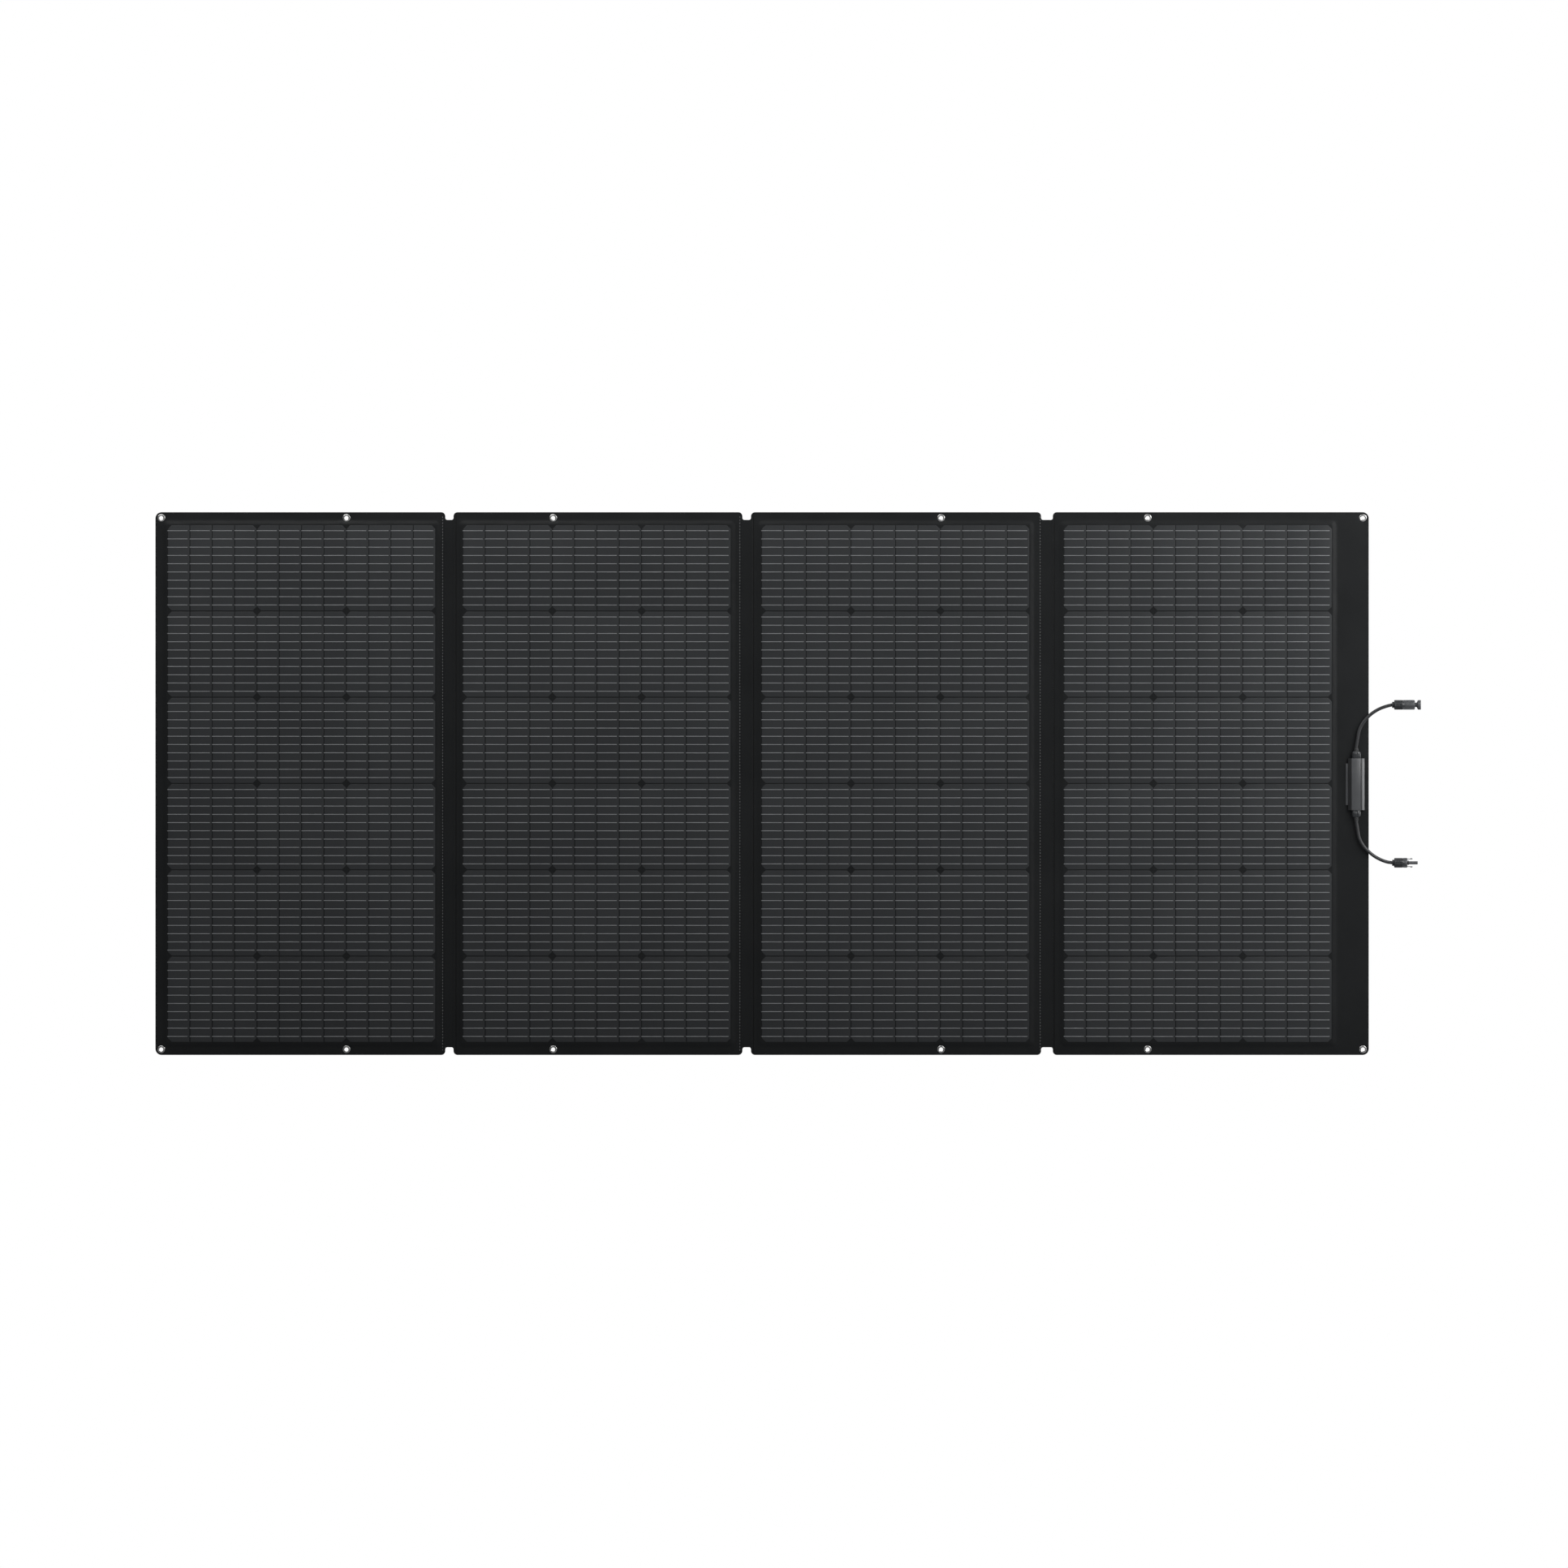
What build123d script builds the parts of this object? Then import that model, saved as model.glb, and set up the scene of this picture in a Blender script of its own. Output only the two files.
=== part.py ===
from build123d import *
import os

# Folding solar sheet: four rigid solar panels in one cloth, joined by three
# cloth folds, with a cable box and two plug leads on the right-hand flange.
# Frame: X to the right, Z up, the solar face looks along -Y. The origin is the
# middle of the unfolded sheet, half way through its thickness. Millimetres.

os.makedirs("parts", exist_ok=True)

# ---------------------------------------------------------------- dimensions
SHEET_W = 2365.0          # unfolded width
SHEET_H = 1058.0          # height
HALF_W = SHEET_W / 2
HALF_H = SHEET_H / 2
CORE_T = 5.9              # thickness of a panel through its cells
SKIRT_T = 2.0             # thickness of the cloth border round each panel
GAP = 0.02                # air between stacked layers
FIT = 0.05                # air between pieces that sit on or in each other
OUTER_R = 12.0            # corner radius of the sheet
NOTCH_R = 8.0             # corner radius of a panel beside a fold

# eyelets, in pairs at the top and bottom of a panel
EYELET_INSET_X = 11.3
EYELET_INSET_Z = 11.0
EYELET_HOLE_R = 3.75
EYELET_BARREL_R = 4.5
EYELET_FLANGE_R = 7.35
EYELET_FLANGE_T = 0.6
EYELET_ROUND = 0.4        # rounding of the outer rims

# One row per panel, all measured from the sheet's left edge:
# cloth left, cloth right, left of the first cell, eyelets
PANELS = [
    (0.0, 565.1, 24.7, [EYELET_INSET_X, 372.4]),
    (581.0, 1144.2, 600.3, [775.3]),
    (1160.8, 1726.4, 1182.5, [1531.4]),
    (1749.1, SHEET_W, 1771.9, [1934.1, SHEET_W - EYELET_INSET_X]),
]

# cells
STRIPS = 12               # cell strips in a row
WAFER_STRIPS = 4          # strips cut from one wafer
ROWS = 6                  # rows of cells in a panel
STRIP_W = 41.5
STRIP_H = 166.0
STRIP_PITCH = 43.55
ROW_PITCH = 168.2
CELL_CHAMFER = 7.0        # cut corner of a wafer
CELLS_W = (STRIPS - 1) * STRIP_PITCH + STRIP_W
CELLS_H = (ROWS - 1) * ROW_PITCH + STRIP_H
ROW_Z = [(row - (ROWS - 1) / 2) * ROW_PITCH for row in range(ROWS)]

# ribbons
RIBBON_W = 1.2
RIBBON_PITCH = 16.1
RIBBONS = 10              # ribbons across each row
RIBBON_SHORT = 1.0        # a ribbon is this much shorter than a row
BAR_W = 1.6               # bar that joins two rows
BAR_H = 2 * STRIP_H - 20
BAR_OFFSET = 1.5          # from the end of the cells to the middle of the bar

# stiff core
CORE_MARGIN = 3.0         # it runs this far past the cells
CORE_W = CELLS_W + 2 * CORE_MARGIN
CORE_H = CELLS_H + 2 * CORE_MARGIN
CORE_R = 6.0
CORE_CLEAR = 0.1          # air between the core and the border round it

# thickness of each layer of the core
FILM_T = 0.30
RIBBON_T = 0.15
CELL_T = 0.25
ENCAPSULANT_T = 0.50
BACK_CLOTH_T = 0.70
FILM_CHAMFER = 0.12
BACK_CLOTH_CHAMFER = 0.3


def layer_behind(layer, thickness):
    """Depths (front y, back y) of the layer that lies behind another one."""
    front_y = layer[1] + GAP
    return front_y, front_y + thickness


FILM_Y = (-CORE_T / 2, -CORE_T / 2 + FILM_T)
RIBBON_Y = layer_behind(FILM_Y, RIBBON_T)
CELL_Y = layer_behind(RIBBON_Y, CELL_T)
ENCAPSULANT_Y = layer_behind(CELL_Y, ENCAPSULANT_T)
BACK_CLOTH_Y = (CORE_T / 2 - BACK_CLOTH_T, CORE_T / 2)
STIFFENER_Y = (ENCAPSULANT_Y[1] + GAP, BACK_CLOTH_Y[0] - GAP)


def upright(y):
    """The plane of the sheet at depth y; extruding goes towards the front."""
    return Plane.XZ.offset(-y)


def save(part, name):
    part.label = name
    export_step(part, f"parts/{name}.step")


# ------------------------------------------------------------------- panels
def core_layer(name, core_x, depths, bevelled_face=None, bevel=0.0):
    """A full layer of the core; bevelled_face is 0 for its front, -1 for its back."""
    front_y, back_y = depths
    with BuildPart() as layer:
        with BuildSketch(upright(back_y)):
            with Locations((core_x, 0)):
                RectangleRounded(CORE_W, CORE_H, CORE_R)
        extrude(amount=back_y - front_y)
        if bevelled_face is not None:
            chamfer(layer.faces().sort_by(Axis.Y)[bevelled_face].edges(), bevel)
    save(layer.part, name)


def panel_ribbons(name, core_x):
    """Ribbons that join the strips of a row, and the bars that join rows."""
    with BuildPart() as ribbons:
        with BuildSketch(upright(RIBBON_Y[1])):
            for z in ROW_Z:
                with Locations((core_x, z)):
                    with GridLocations(1, RIBBON_PITCH, 1, RIBBONS):
                        Rectangle(CELLS_W - RIBBON_SHORT, RIBBON_W)
            # the bars alternate between the right and left ends of the rows
            for row in range(ROWS - 1):
                side = 1 if row % 2 == 0 else -1
                bar_x = core_x + side * (CELLS_W / 2 + BAR_OFFSET)
                with Locations((bar_x, ROW_Z[row] + ROW_PITCH / 2)):
                    Rectangle(BAR_W, BAR_H)
        extrude(amount=RIBBON_T)
    save(ribbons.part, name)


def strip_centres(first_x, places):
    """Centres of the strips that have these places, 0 to 3, in their wafer."""
    return [
        (first_x + i * STRIP_PITCH, z)
        for i in range(STRIPS)
        if i % WAFER_STRIPS in places
        for z in ROW_Z
    ]


def panel_cells(name, first_x):
    """Cell strips; the first and last strip of a wafer have its cut corners."""
    half_w = STRIP_W / 2
    half_h = STRIP_H / 2
    cut_x = half_w - CELL_CHAMFER
    cut_z = half_h - CELL_CHAMFER
    first_outline = [
        (half_w, half_h), (-cut_x, half_h), (-half_w, cut_z),
        (-half_w, -cut_z), (-cut_x, -half_h), (half_w, -half_h),
    ]
    last_outline = [
        (-half_w, half_h), (-half_w, -half_h), (cut_x, -half_h),
        (half_w, -cut_z), (half_w, cut_z), (cut_x, half_h),
    ]
    with BuildPart() as cells:
        with BuildSketch(upright(CELL_Y[1])):
            with Locations(*strip_centres(first_x, (1, 2))):
                Rectangle(STRIP_W, STRIP_H)
            with Locations(*strip_centres(first_x, (0,))):
                Polygon(*first_outline, align=None)
            with Locations(*strip_centres(first_x, (3,))):
                Polygon(*last_outline, align=None)
        extrude(amount=CELL_T)
    save(cells.part, name)


def panel_border(name, left, right, radii, core_x, eyelet_points):
    """Cloth border round the core; radii are its left and right corners."""
    with BuildPart() as border:
        with BuildSketch(upright(SKIRT_T / 2)) as outline:
            with Locations(((left + right) / 2, 0)):
                Rectangle(right - left, SHEET_H)
            fillet(outline.vertices().group_by(Axis.X)[0], radii[0])
            fillet(outline.vertices().group_by(Axis.X)[-1], radii[1])
            with Locations((core_x, 0)):
                RectangleRounded(
                    CORE_W + 2 * CORE_CLEAR,
                    CORE_H + 2 * CORE_CLEAR,
                    CORE_R + CORE_CLEAR,
                    mode=Mode.SUBTRACT,
                )
            with Locations(*eyelet_points):
                Circle(EYELET_BARREL_R + FIT, mode=Mode.SUBTRACT)
        extrude(amount=SKIRT_T)
    save(border.part, name)


def outer_rims(builder, end):
    """The widest circles at the front (end 0) or the back (end -1)."""
    circles = builder.edges().filter_by(GeomType.CIRCLE).group_by(Axis.Y)[end]
    return circles.group_by(lambda e: round(e.radius, 2))[-1]


EYELET_BACK_Y = SKIRT_T / 2 + FIT + EYELET_FLANGE_T


def panel_eyelets(name, eyelet_points):
    """Front half of each eyelet: a rolled flange and the barrel."""
    with BuildPart() as eyelets:
        with BuildSketch(upright(-SKIRT_T / 2 - FIT)):
            with Locations(*eyelet_points):
                Circle(EYELET_FLANGE_R)
                Circle(EYELET_HOLE_R, mode=Mode.SUBTRACT)
        extrude(amount=EYELET_FLANGE_T)
        fillet(outer_rims(eyelets, 0), EYELET_ROUND)
        with BuildSketch(upright(EYELET_BACK_Y)):
            with Locations(*eyelet_points):
                Circle(EYELET_BARREL_R)
                Circle(EYELET_HOLE_R, mode=Mode.SUBTRACT)
        extrude(amount=SKIRT_T + 2 * FIT + EYELET_FLANGE_T)
    save(eyelets.part, name)


def panel_eyelet_washers(name, eyelet_points):
    """Washer clinched on the back of each eyelet."""
    with BuildPart() as washers:
        with BuildSketch(upright(EYELET_BACK_Y)):
            with Locations(*eyelet_points):
                Circle(EYELET_FLANGE_R)
                Circle(EYELET_BARREL_R + GAP, mode=Mode.SUBTRACT)
        extrude(amount=EYELET_FLANGE_T)
        fillet(outer_rims(washers, -1), EYELET_ROUND)
    save(washers.part, name)


for index, (left_edge, right_edge, cell_left, eyelet_xs) in enumerate(PANELS):
    panel = f"panel_{index + 1}"
    core_x = cell_left - HALF_W + CELLS_W / 2
    corner_radii = (
        OUTER_R if index == 0 else NOTCH_R,
        OUTER_R if index == len(PANELS) - 1 else NOTCH_R,
    )
    eyelet_points = [
        (x - HALF_W, side * (HALF_H - EYELET_INSET_Z)) for x in eyelet_xs for side in (1, -1)
    ]

    # front to back: clear film, ribbons, cells, bonding sheet, stiff board, cloth
    core_layer(f"{panel}_front_film", core_x, FILM_Y, bevelled_face=0, bevel=FILM_CHAMFER)
    panel_ribbons(f"{panel}_ribbons", core_x)
    panel_cells(f"{panel}_cells", cell_left - HALF_W + STRIP_W / 2)
    core_layer(f"{panel}_encapsulant", core_x, ENCAPSULANT_Y)
    core_layer(f"{panel}_stiffener", core_x, STIFFENER_Y)
    core_layer(
        f"{panel}_back_cloth", core_x, BACK_CLOTH_Y, bevelled_face=-1, bevel=BACK_CLOTH_CHAMFER
    )
    panel_border(
        f"{panel}_border", left_edge - HALF_W, right_edge - HALF_W,
        corner_radii, core_x, eyelet_points,
    )
    panel_eyelets(f"{panel}_eyelets", eyelet_points)
    panel_eyelet_washers(f"{panel}_eyelet_washers", eyelet_points)

# -------------------------------------------------------------------- folds
# A strip of cloth bridges each pair of panels, with a wider gap at its left
# than at its right. Two flat copper links run through pockets in it and carry
# the current across.
FOLD_T = 1.6
FOLD_LEFT_GAP = 0.3
NOTCH_DEPTH = 15.0        # the folds stop this far short of the top and bottom
LINK_Z = (430.0, -430.0)
LINK_W = 10.0
LINK_T = 0.3
LINK_SIDE_CLEAR = 0.2     # air beside a link in its pocket
LINK_INSET = 0.2          # a link stops this far inside each edge of the fold


def fold_cloth(name, mid_x, width):
    with BuildPart() as cloth:
        with BuildSketch(upright(FOLD_T / 2)):
            with Locations((mid_x, 0)):
                Rectangle(width, SHEET_H - 2 * NOTCH_DEPTH)
        extrude(amount=FOLD_T)
        with BuildSketch(upright(LINK_T / 2 + FIT)):
            with Locations(*[(mid_x, z) for z in LINK_Z]):
                Rectangle(width, LINK_W + 2 * LINK_SIDE_CLEAR)
        extrude(amount=LINK_T + 2 * FIT, mode=Mode.SUBTRACT)
    save(cloth.part, name)


def fold_links(name, mid_x, width):
    with BuildPart() as links:
        with BuildSketch(upright(LINK_T / 2)):
            with Locations(*[(mid_x, z) for z in LINK_Z]):
                Rectangle(width - 2 * LINK_INSET, LINK_W)
        extrude(amount=LINK_T)
    save(links.part, name)


for index in range(len(PANELS) - 1):
    fold_left = PANELS[index][1] - HALF_W + FOLD_LEFT_GAP
    fold_right = PANELS[index + 1][0] - HALF_W - GAP
    fold_x = (fold_left + fold_right) / 2
    fold_cloth(f"fold_{index + 1}_cloth", fold_x, fold_right - fold_left)
    fold_links(f"fold_{index + 1}_links", fold_x, fold_right - fold_left)

# ---------------------------------------------------------------- cable box
BOX_X = 1158.2            # middle of the box
BOX_Z = -1.4
BOX_L = 100.6             # length along Z
BOX_LEFT = BOX_X - 16.0
BOX_RIGHT = BOX_X + 15.9
BOX_SEAT_Y = -SKIRT_T / 2 - FIT   # the box stands on the cloth border
BOX_SPLIT_Y = -4.5        # where the cover meets the base
BOX_TOP_Y = -14.9
BOX_WALL = 1.6            # side walls
BOX_END_WALL = 2.0
HOLLOW_L = BOX_L - 2 * BOX_END_WALL
HOLLOW_LEFT = BOX_LEFT + BOX_WALL
HOLLOW_RIGHT = BOX_RIGHT - BOX_WALL
HOLLOW_OVERRUN = 1.0      # each hollow is cut this far past the split
TAB_L = 81.0
CABLE_R = 3.2
CABLE_Y = -8.0            # depth of the cable where it leaves the box
CABLE_WAY_R = CABLE_R - 0.3

BOARD_W = 26.0
BOARD_H = 90.0
BOARD_R = 1.5
BOARD_T = 1.2
BOARD_BACK_Y = BOX_SEAT_Y - 1.4
BOARD_HOLE_PITCH = 78.0
BOARD_HOLE_R = 1.6
DIODE_W = 9.0
DIODE_H = 12.0
DIODE_R = 0.8
DIODE_T = 3.2
DIODE_PITCH = 24.0
DIODE_CHAMFER = 0.5

# Cross-sections of the box as (x, y) points.
BASE_OUTLINE = [
    (BOX_LEFT, BOX_SEAT_Y),
    (BOX_RIGHT, BOX_SEAT_Y),
    (BOX_RIGHT, BOX_SPLIT_Y),
    (BOX_LEFT, BOX_SPLIT_Y),
]
TAB_OUTLINE = [
    (BOX_LEFT - 4.7, BOX_SEAT_Y),
    (BOX_LEFT, BOX_SEAT_Y),
    (BOX_LEFT, BOX_SPLIT_Y),
    (BOX_LEFT - 2.2, BOX_SPLIT_Y),
    (BOX_LEFT - 4.7, BOX_SEAT_Y - 1.4),
]
BASE_HOLLOW = [
    (HOLLOW_LEFT, BOX_SEAT_Y - 1.2),
    (HOLLOW_RIGHT, BOX_SEAT_Y - 1.2),
    (HOLLOW_RIGHT, BOX_SPLIT_Y - HOLLOW_OVERRUN),
    (HOLLOW_LEFT, BOX_SPLIT_Y - HOLLOW_OVERRUN),
]
COVER_OUTLINE = [
    (BOX_LEFT, BOX_SPLIT_Y - FIT),
    (BOX_RIGHT, BOX_SPLIT_Y - FIT),
    (BOX_RIGHT, BOX_SPLIT_Y - 2.5),
    (BOX_X + 10.0, BOX_TOP_Y + 0.9),
    (BOX_X + 8.6, BOX_TOP_Y + 0.9),
    (BOX_X + 7.6, BOX_TOP_Y),
    (BOX_X - 9.0, BOX_TOP_Y),
    (BOX_LEFT, BOX_SPLIT_Y - 3.0),
]
COVER_HOLLOW = [
    (HOLLOW_LEFT, BOX_SPLIT_Y + HOLLOW_OVERRUN),
    (HOLLOW_RIGHT, BOX_SPLIT_Y + HOLLOW_OVERRUN),
    (HOLLOW_RIGHT, BOX_SPLIT_Y - 2.2),
    (BOX_X + 7.4, BOX_TOP_Y + 2.2),
    (BOX_X - 8.0, BOX_TOP_Y + 1.8),
    (HOLLOW_LEFT, BOX_SPLIT_Y - 2.8),
]

# base tray with a mounting tab along its left side
with BuildPart() as box_base:
    for outline, length, mode in (
        (BASE_OUTLINE, BOX_L, Mode.ADD),
        (TAB_OUTLINE, TAB_L, Mode.ADD),
        (BASE_HOLLOW, HOLLOW_L, Mode.SUBTRACT),
    ):
        with BuildSketch(Plane.XY.offset(BOX_Z - length / 2)):
            with BuildLine():
                Polyline(*outline, close=True)
            make_face()
        extrude(amount=length, mode=mode)
save(box_base.part, "cable_box_base")

# cover with a flat top and sloping sides, and a cable way through each end
with BuildPart() as box_cover:
    for outline, length, mode in (
        (COVER_OUTLINE, BOX_L, Mode.ADD),
        (COVER_HOLLOW, HOLLOW_L, Mode.SUBTRACT),
    ):
        with BuildSketch(Plane.XY.offset(BOX_Z - length / 2)):
            with BuildLine():
                Polyline(*outline, close=True)
            make_face()
        extrude(amount=length, mode=mode)
    with BuildSketch(Plane.XY.offset(BOX_Z - BOX_L / 2)):
        with Locations((BOX_X, CABLE_Y)):
            Circle(CABLE_WAY_R)
    extrude(amount=BOX_L, mode=Mode.SUBTRACT)
save(box_cover.part, "cable_box_cover")

# circuit board that joins the two string ends to the leads
with BuildPart() as box_board:
    with BuildSketch(upright(BOARD_BACK_Y)):
        with Locations((BOX_X, BOX_Z)):
            RectangleRounded(BOARD_W, BOARD_H, BOARD_R)
            with GridLocations(0, BOARD_HOLE_PITCH, 1, 2):
                Circle(BOARD_HOLE_R, mode=Mode.SUBTRACT)
    extrude(amount=BOARD_T)
save(box_board.part, "cable_box_board")

# bypass diodes on the front of the board
with BuildPart() as box_diodes:
    with BuildSketch(upright(BOARD_BACK_Y - BOARD_T - FIT)):
        with Locations((BOX_X, BOX_Z)):
            with GridLocations(0, DIODE_PITCH, 1, 2):
                RectangleRounded(DIODE_W, DIODE_H, DIODE_R)
    extrude(amount=DIODE_T)
    chamfer(box_diodes.faces().sort_by(Axis.Y)[:2].edges(), DIODE_CHAMFER)
save(box_diodes.part, "cable_box_diodes")

# -------------------------------------------------------- glands and cables
GLAND_BORE_R = CABLE_R + 0.3
GLAND_NUT_W = 17.4
GLAND_NUT_D = 12.6
GLAND_NUT_L = 14.4
GLAND_NUT_CHAMFER = 3.2
GLAND_NUT_TAPER = 3       # degrees
GLAND_BOOT_R = 4.6
GLAND_BOOT_L = 6.4
GLAND_BOOT_ROUND = 0.8
CABLE_CLEAR = 1.8         # the lead's sheath starts clear of the boot
PLUG_Y = -5.95
PLUG_Z = {"upper": 153.5, "lower": -154.4}
CABLE_END_X = 1227.2
CABLE_END_DROP = 0.3      # the cable ends this far from the plug's axis, inwards
CABLE_END_SLOPE = 0.12    # rise per unit of x at the cable's end

# Points each lead passes between its two ends: x, y, z of upper, z of lower.
CABLE_STATIONS = [
    (1160.6, -7.9, 86.3, -88.6),
    (1163.9, -7.7, 103.7, -105.9),
    (1171.3, -7.4, 118.5, -120.2),
    (1180.1, -7.1, 129.1, -130.4),
    (1191.2, -6.8, 138.6, -140.0),
    (1203.9, -6.4, 145.9, -147.4),
    (1216.5, -6.1, 150.6, -152.3),
]


def lead_plane(z, side):
    """A plane across the lead beside the box; extruding goes away from the box."""
    return Plane(origin=(BOX_X, CABLE_Y, z), x_dir=(1, 0, 0), z_dir=(0, 0, side))


def gland_nut(name, z, side):
    with BuildPart() as nut:
        with BuildSketch(lead_plane(z, side)) as outline:
            Rectangle(GLAND_NUT_W, GLAND_NUT_D)
            chamfer(outline.vertices(), GLAND_NUT_CHAMFER)
            Circle(GLAND_BORE_R, mode=Mode.SUBTRACT)
        extrude(amount=GLAND_NUT_L, taper=GLAND_NUT_TAPER)
    save(nut.part, name)


def gland_boot(name, z, side):
    """Rubber boot, rounded at the rim farthest from the box."""
    with BuildPart() as boot:
        with BuildSketch(lead_plane(z, side)):
            Circle(GLAND_BOOT_R)
            Circle(GLAND_BORE_R, mode=Mode.SUBTRACT)
        extrude(amount=GLAND_BOOT_L)
        fillet(
            boot.edges().filter_by(GeomType.CIRCLE).sort_by(
                lambda e: -abs(e.center().Z) * 100 - e.radius
            )[0],
            GLAND_BOOT_ROUND,
        )
    save(boot.part, name)


def lead_cable(name, points, side):
    """The lead leaves the box along the flange and curves out past the edge."""
    with BuildPart() as cable:
        with BuildLine():
            Spline(*points, tangents=((0, 0, side), (1, 0, CABLE_END_SLOPE * side)))
        with BuildSketch(lead_plane(points[0][2], side)):
            Circle(CABLE_R)
        sweep()
    save(cable.part, name)


for lead, side, z_column in (("upper", 1, 2), ("lower", -1, 3)):
    nut_z = BOX_Z + side * (BOX_L / 2 + FIT)
    boot_z = nut_z + side * (GLAND_NUT_L + FIT)
    cable_z = boot_z + side * (GLAND_BOOT_L + CABLE_CLEAR)
    cable_points = [
        (BOX_X, CABLE_Y, cable_z),
        *[(row[0], row[1], row[z_column]) for row in CABLE_STATIONS],
        (CABLE_END_X, PLUG_Y, PLUG_Z[lead] - side * CABLE_END_DROP),
    ]
    gland_nut(f"{lead}_gland_nut", nut_z, side)
    gland_boot(f"{lead}_gland_boot", boot_z, side)
    lead_cable(f"{lead}_cable", cable_points, side)

# -------------------------------------------------------------------- plugs
PLUG_R = 9.45
PLUG_GAP = 0.1            # air between neighbouring pieces along a plug

# plug nuts
COLLAR_X = 1227.9
COLLAR_R = 6.1
COLLAR_L = 4.0
NUT_X = COLLAR_X + COLLAR_L
NUT_L = 17.2
NUT_SIDES = 12
NUT_CHAMFER = 1.2
NUT_BORE_R = CABLE_R + 0.4
NUT_BORE_X = 1225.0
NUT_BORE_L = 30.0

BODY_X = NUT_X + NUT_L + PLUG_GAP
CONTACT_X = BODY_X + 0.8

# upper plug
UPPER_BARREL_L = 22.9
UPPER_BARREL_ROUND = 1.2
NECK_X = BODY_X + UPPER_BARREL_L
NECK_R = 4.6
NECK_L = 4.3
HEAD_X = NECK_X + NECK_L
HEAD_L = 7.8
HEAD_CHAMFER = 2.2
UPPER_BORE_R = 3.4
UPPER_BORE_L = 40.0       # right through the body
SOCKET_R = 3.9            # mouth of the socket
SOCKET_L = 10.0           # out through the end of the head
PIN_ROOT_R = 3.3
PIN_ROOT_L = 8.0
PIN_R = 1.2
PIN_L = 17.5
PIN_CHAMFER = 0.4

# lower plug
LOWER_BARREL_L = 8.7
LOWER_BARREL_ROUND = 1.0
SEAT_X = BODY_X + LOWER_BARREL_L
SEAT_R = 2.8              # seat of the seal
SEAT_L = 3.0
NOSE_X = SEAT_X + SEAT_L - 0.1    # the nose tube overlaps the seat
NOSE_R = 3.1
NOSE_L = 17.2
LOWER_BORE_R = 2.25
LOWER_BORE_L = 35.0       # right through the body
ARM_T = 5.0               # thickness of a spring arm along Y
SLEEVE_R = 2.2            # tubular contact
SLEEVE_BORE_R = 1.3
SLEEVE_L = 26.0
SEAL_R = 4.4
SEAL_BORE_R = SEAT_R + FIT
SEAL_L = 2.7
SEAL_ROUND = 0.5

# Outline of a spring arm and its hook: x, distance from the plug's axis.
ARM_OUTLINE = [
    (1256.0, 6.9), (1267.6, 6.9), (1268.2, 7.9), (1265.4, 9.2),
    (1264.0, 9.2), (1263.2, 7.9), (1256.0, 7.9),
]


def across(x, lead):
    """A plane across a plug, centred on its axis; extruding goes to the right."""
    return Plane(origin=(x, PLUG_Y, PLUG_Z[lead]), x_dir=(0, 1, 0), z_dir=(1, 0, 0))


# plug nuts, one on each lead: a collar and a wide faceted barrel
for lead in ("upper", "lower"):
    with BuildPart() as plug_nut:
        with BuildSketch(across(COLLAR_X, lead)):
            Circle(COLLAR_R)
        extrude(amount=COLLAR_L)
        with BuildSketch(across(NUT_X, lead)):
            RegularPolygon(PLUG_R, NUT_SIDES)
        extrude(amount=NUT_L)
        chamfer(plug_nut.faces().sort_by(Axis.X)[-1].edges(), NUT_CHAMFER)
        with BuildSketch(across(NUT_BORE_X, lead)):
            Circle(NUT_BORE_R)
        extrude(amount=NUT_BORE_L, mode=Mode.SUBTRACT)
    save(plug_nut.part, f"{lead}_plug_nut")

# upper plug: barrel, narrow neck and wide head, with a socket in the head
with BuildPart() as upper_body:
    with BuildSketch(across(BODY_X, "upper")):
        Circle(PLUG_R)
    extrude(amount=UPPER_BARREL_L)
    fillet(upper_body.faces().sort_by(Axis.X)[-1].edges(), UPPER_BARREL_ROUND)
    with BuildSketch(across(NECK_X, "upper")):
        Circle(NECK_R)
    extrude(amount=NECK_L)
    with BuildSketch(across(HEAD_X, "upper")):
        Circle(PLUG_R)
    extrude(amount=HEAD_L)
    chamfer(
        upper_body.edges().filter_by(GeomType.CIRCLE).filter_by(
            lambda e: abs(e.center().X - HEAD_X) < 0.01 and e.radius > 9
        ),
        HEAD_CHAMFER,
    )
    with BuildSketch(across(BODY_X, "upper")):
        Circle(UPPER_BORE_R)
    extrude(amount=UPPER_BORE_L, mode=Mode.SUBTRACT)
    with BuildSketch(across(HEAD_X, "upper")):
        Circle(SOCKET_R)
    extrude(amount=SOCKET_L, mode=Mode.SUBTRACT)
save(upper_body.part, "upper_plug_body")

# contact pin on a thick root
with BuildPart() as upper_contact:
    with BuildSketch(across(CONTACT_X, "upper")):
        Circle(PIN_ROOT_R)
    extrude(amount=PIN_ROOT_L)
    with BuildSketch(across(CONTACT_X + PIN_ROOT_L, "upper")):
        Circle(PIN_R)
    extrude(amount=PIN_L)
    chamfer(upper_contact.faces().sort_by(Axis.X)[-1].edges(), PIN_CHAMFER)
save(upper_contact.part, "upper_plug_contact")

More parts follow.
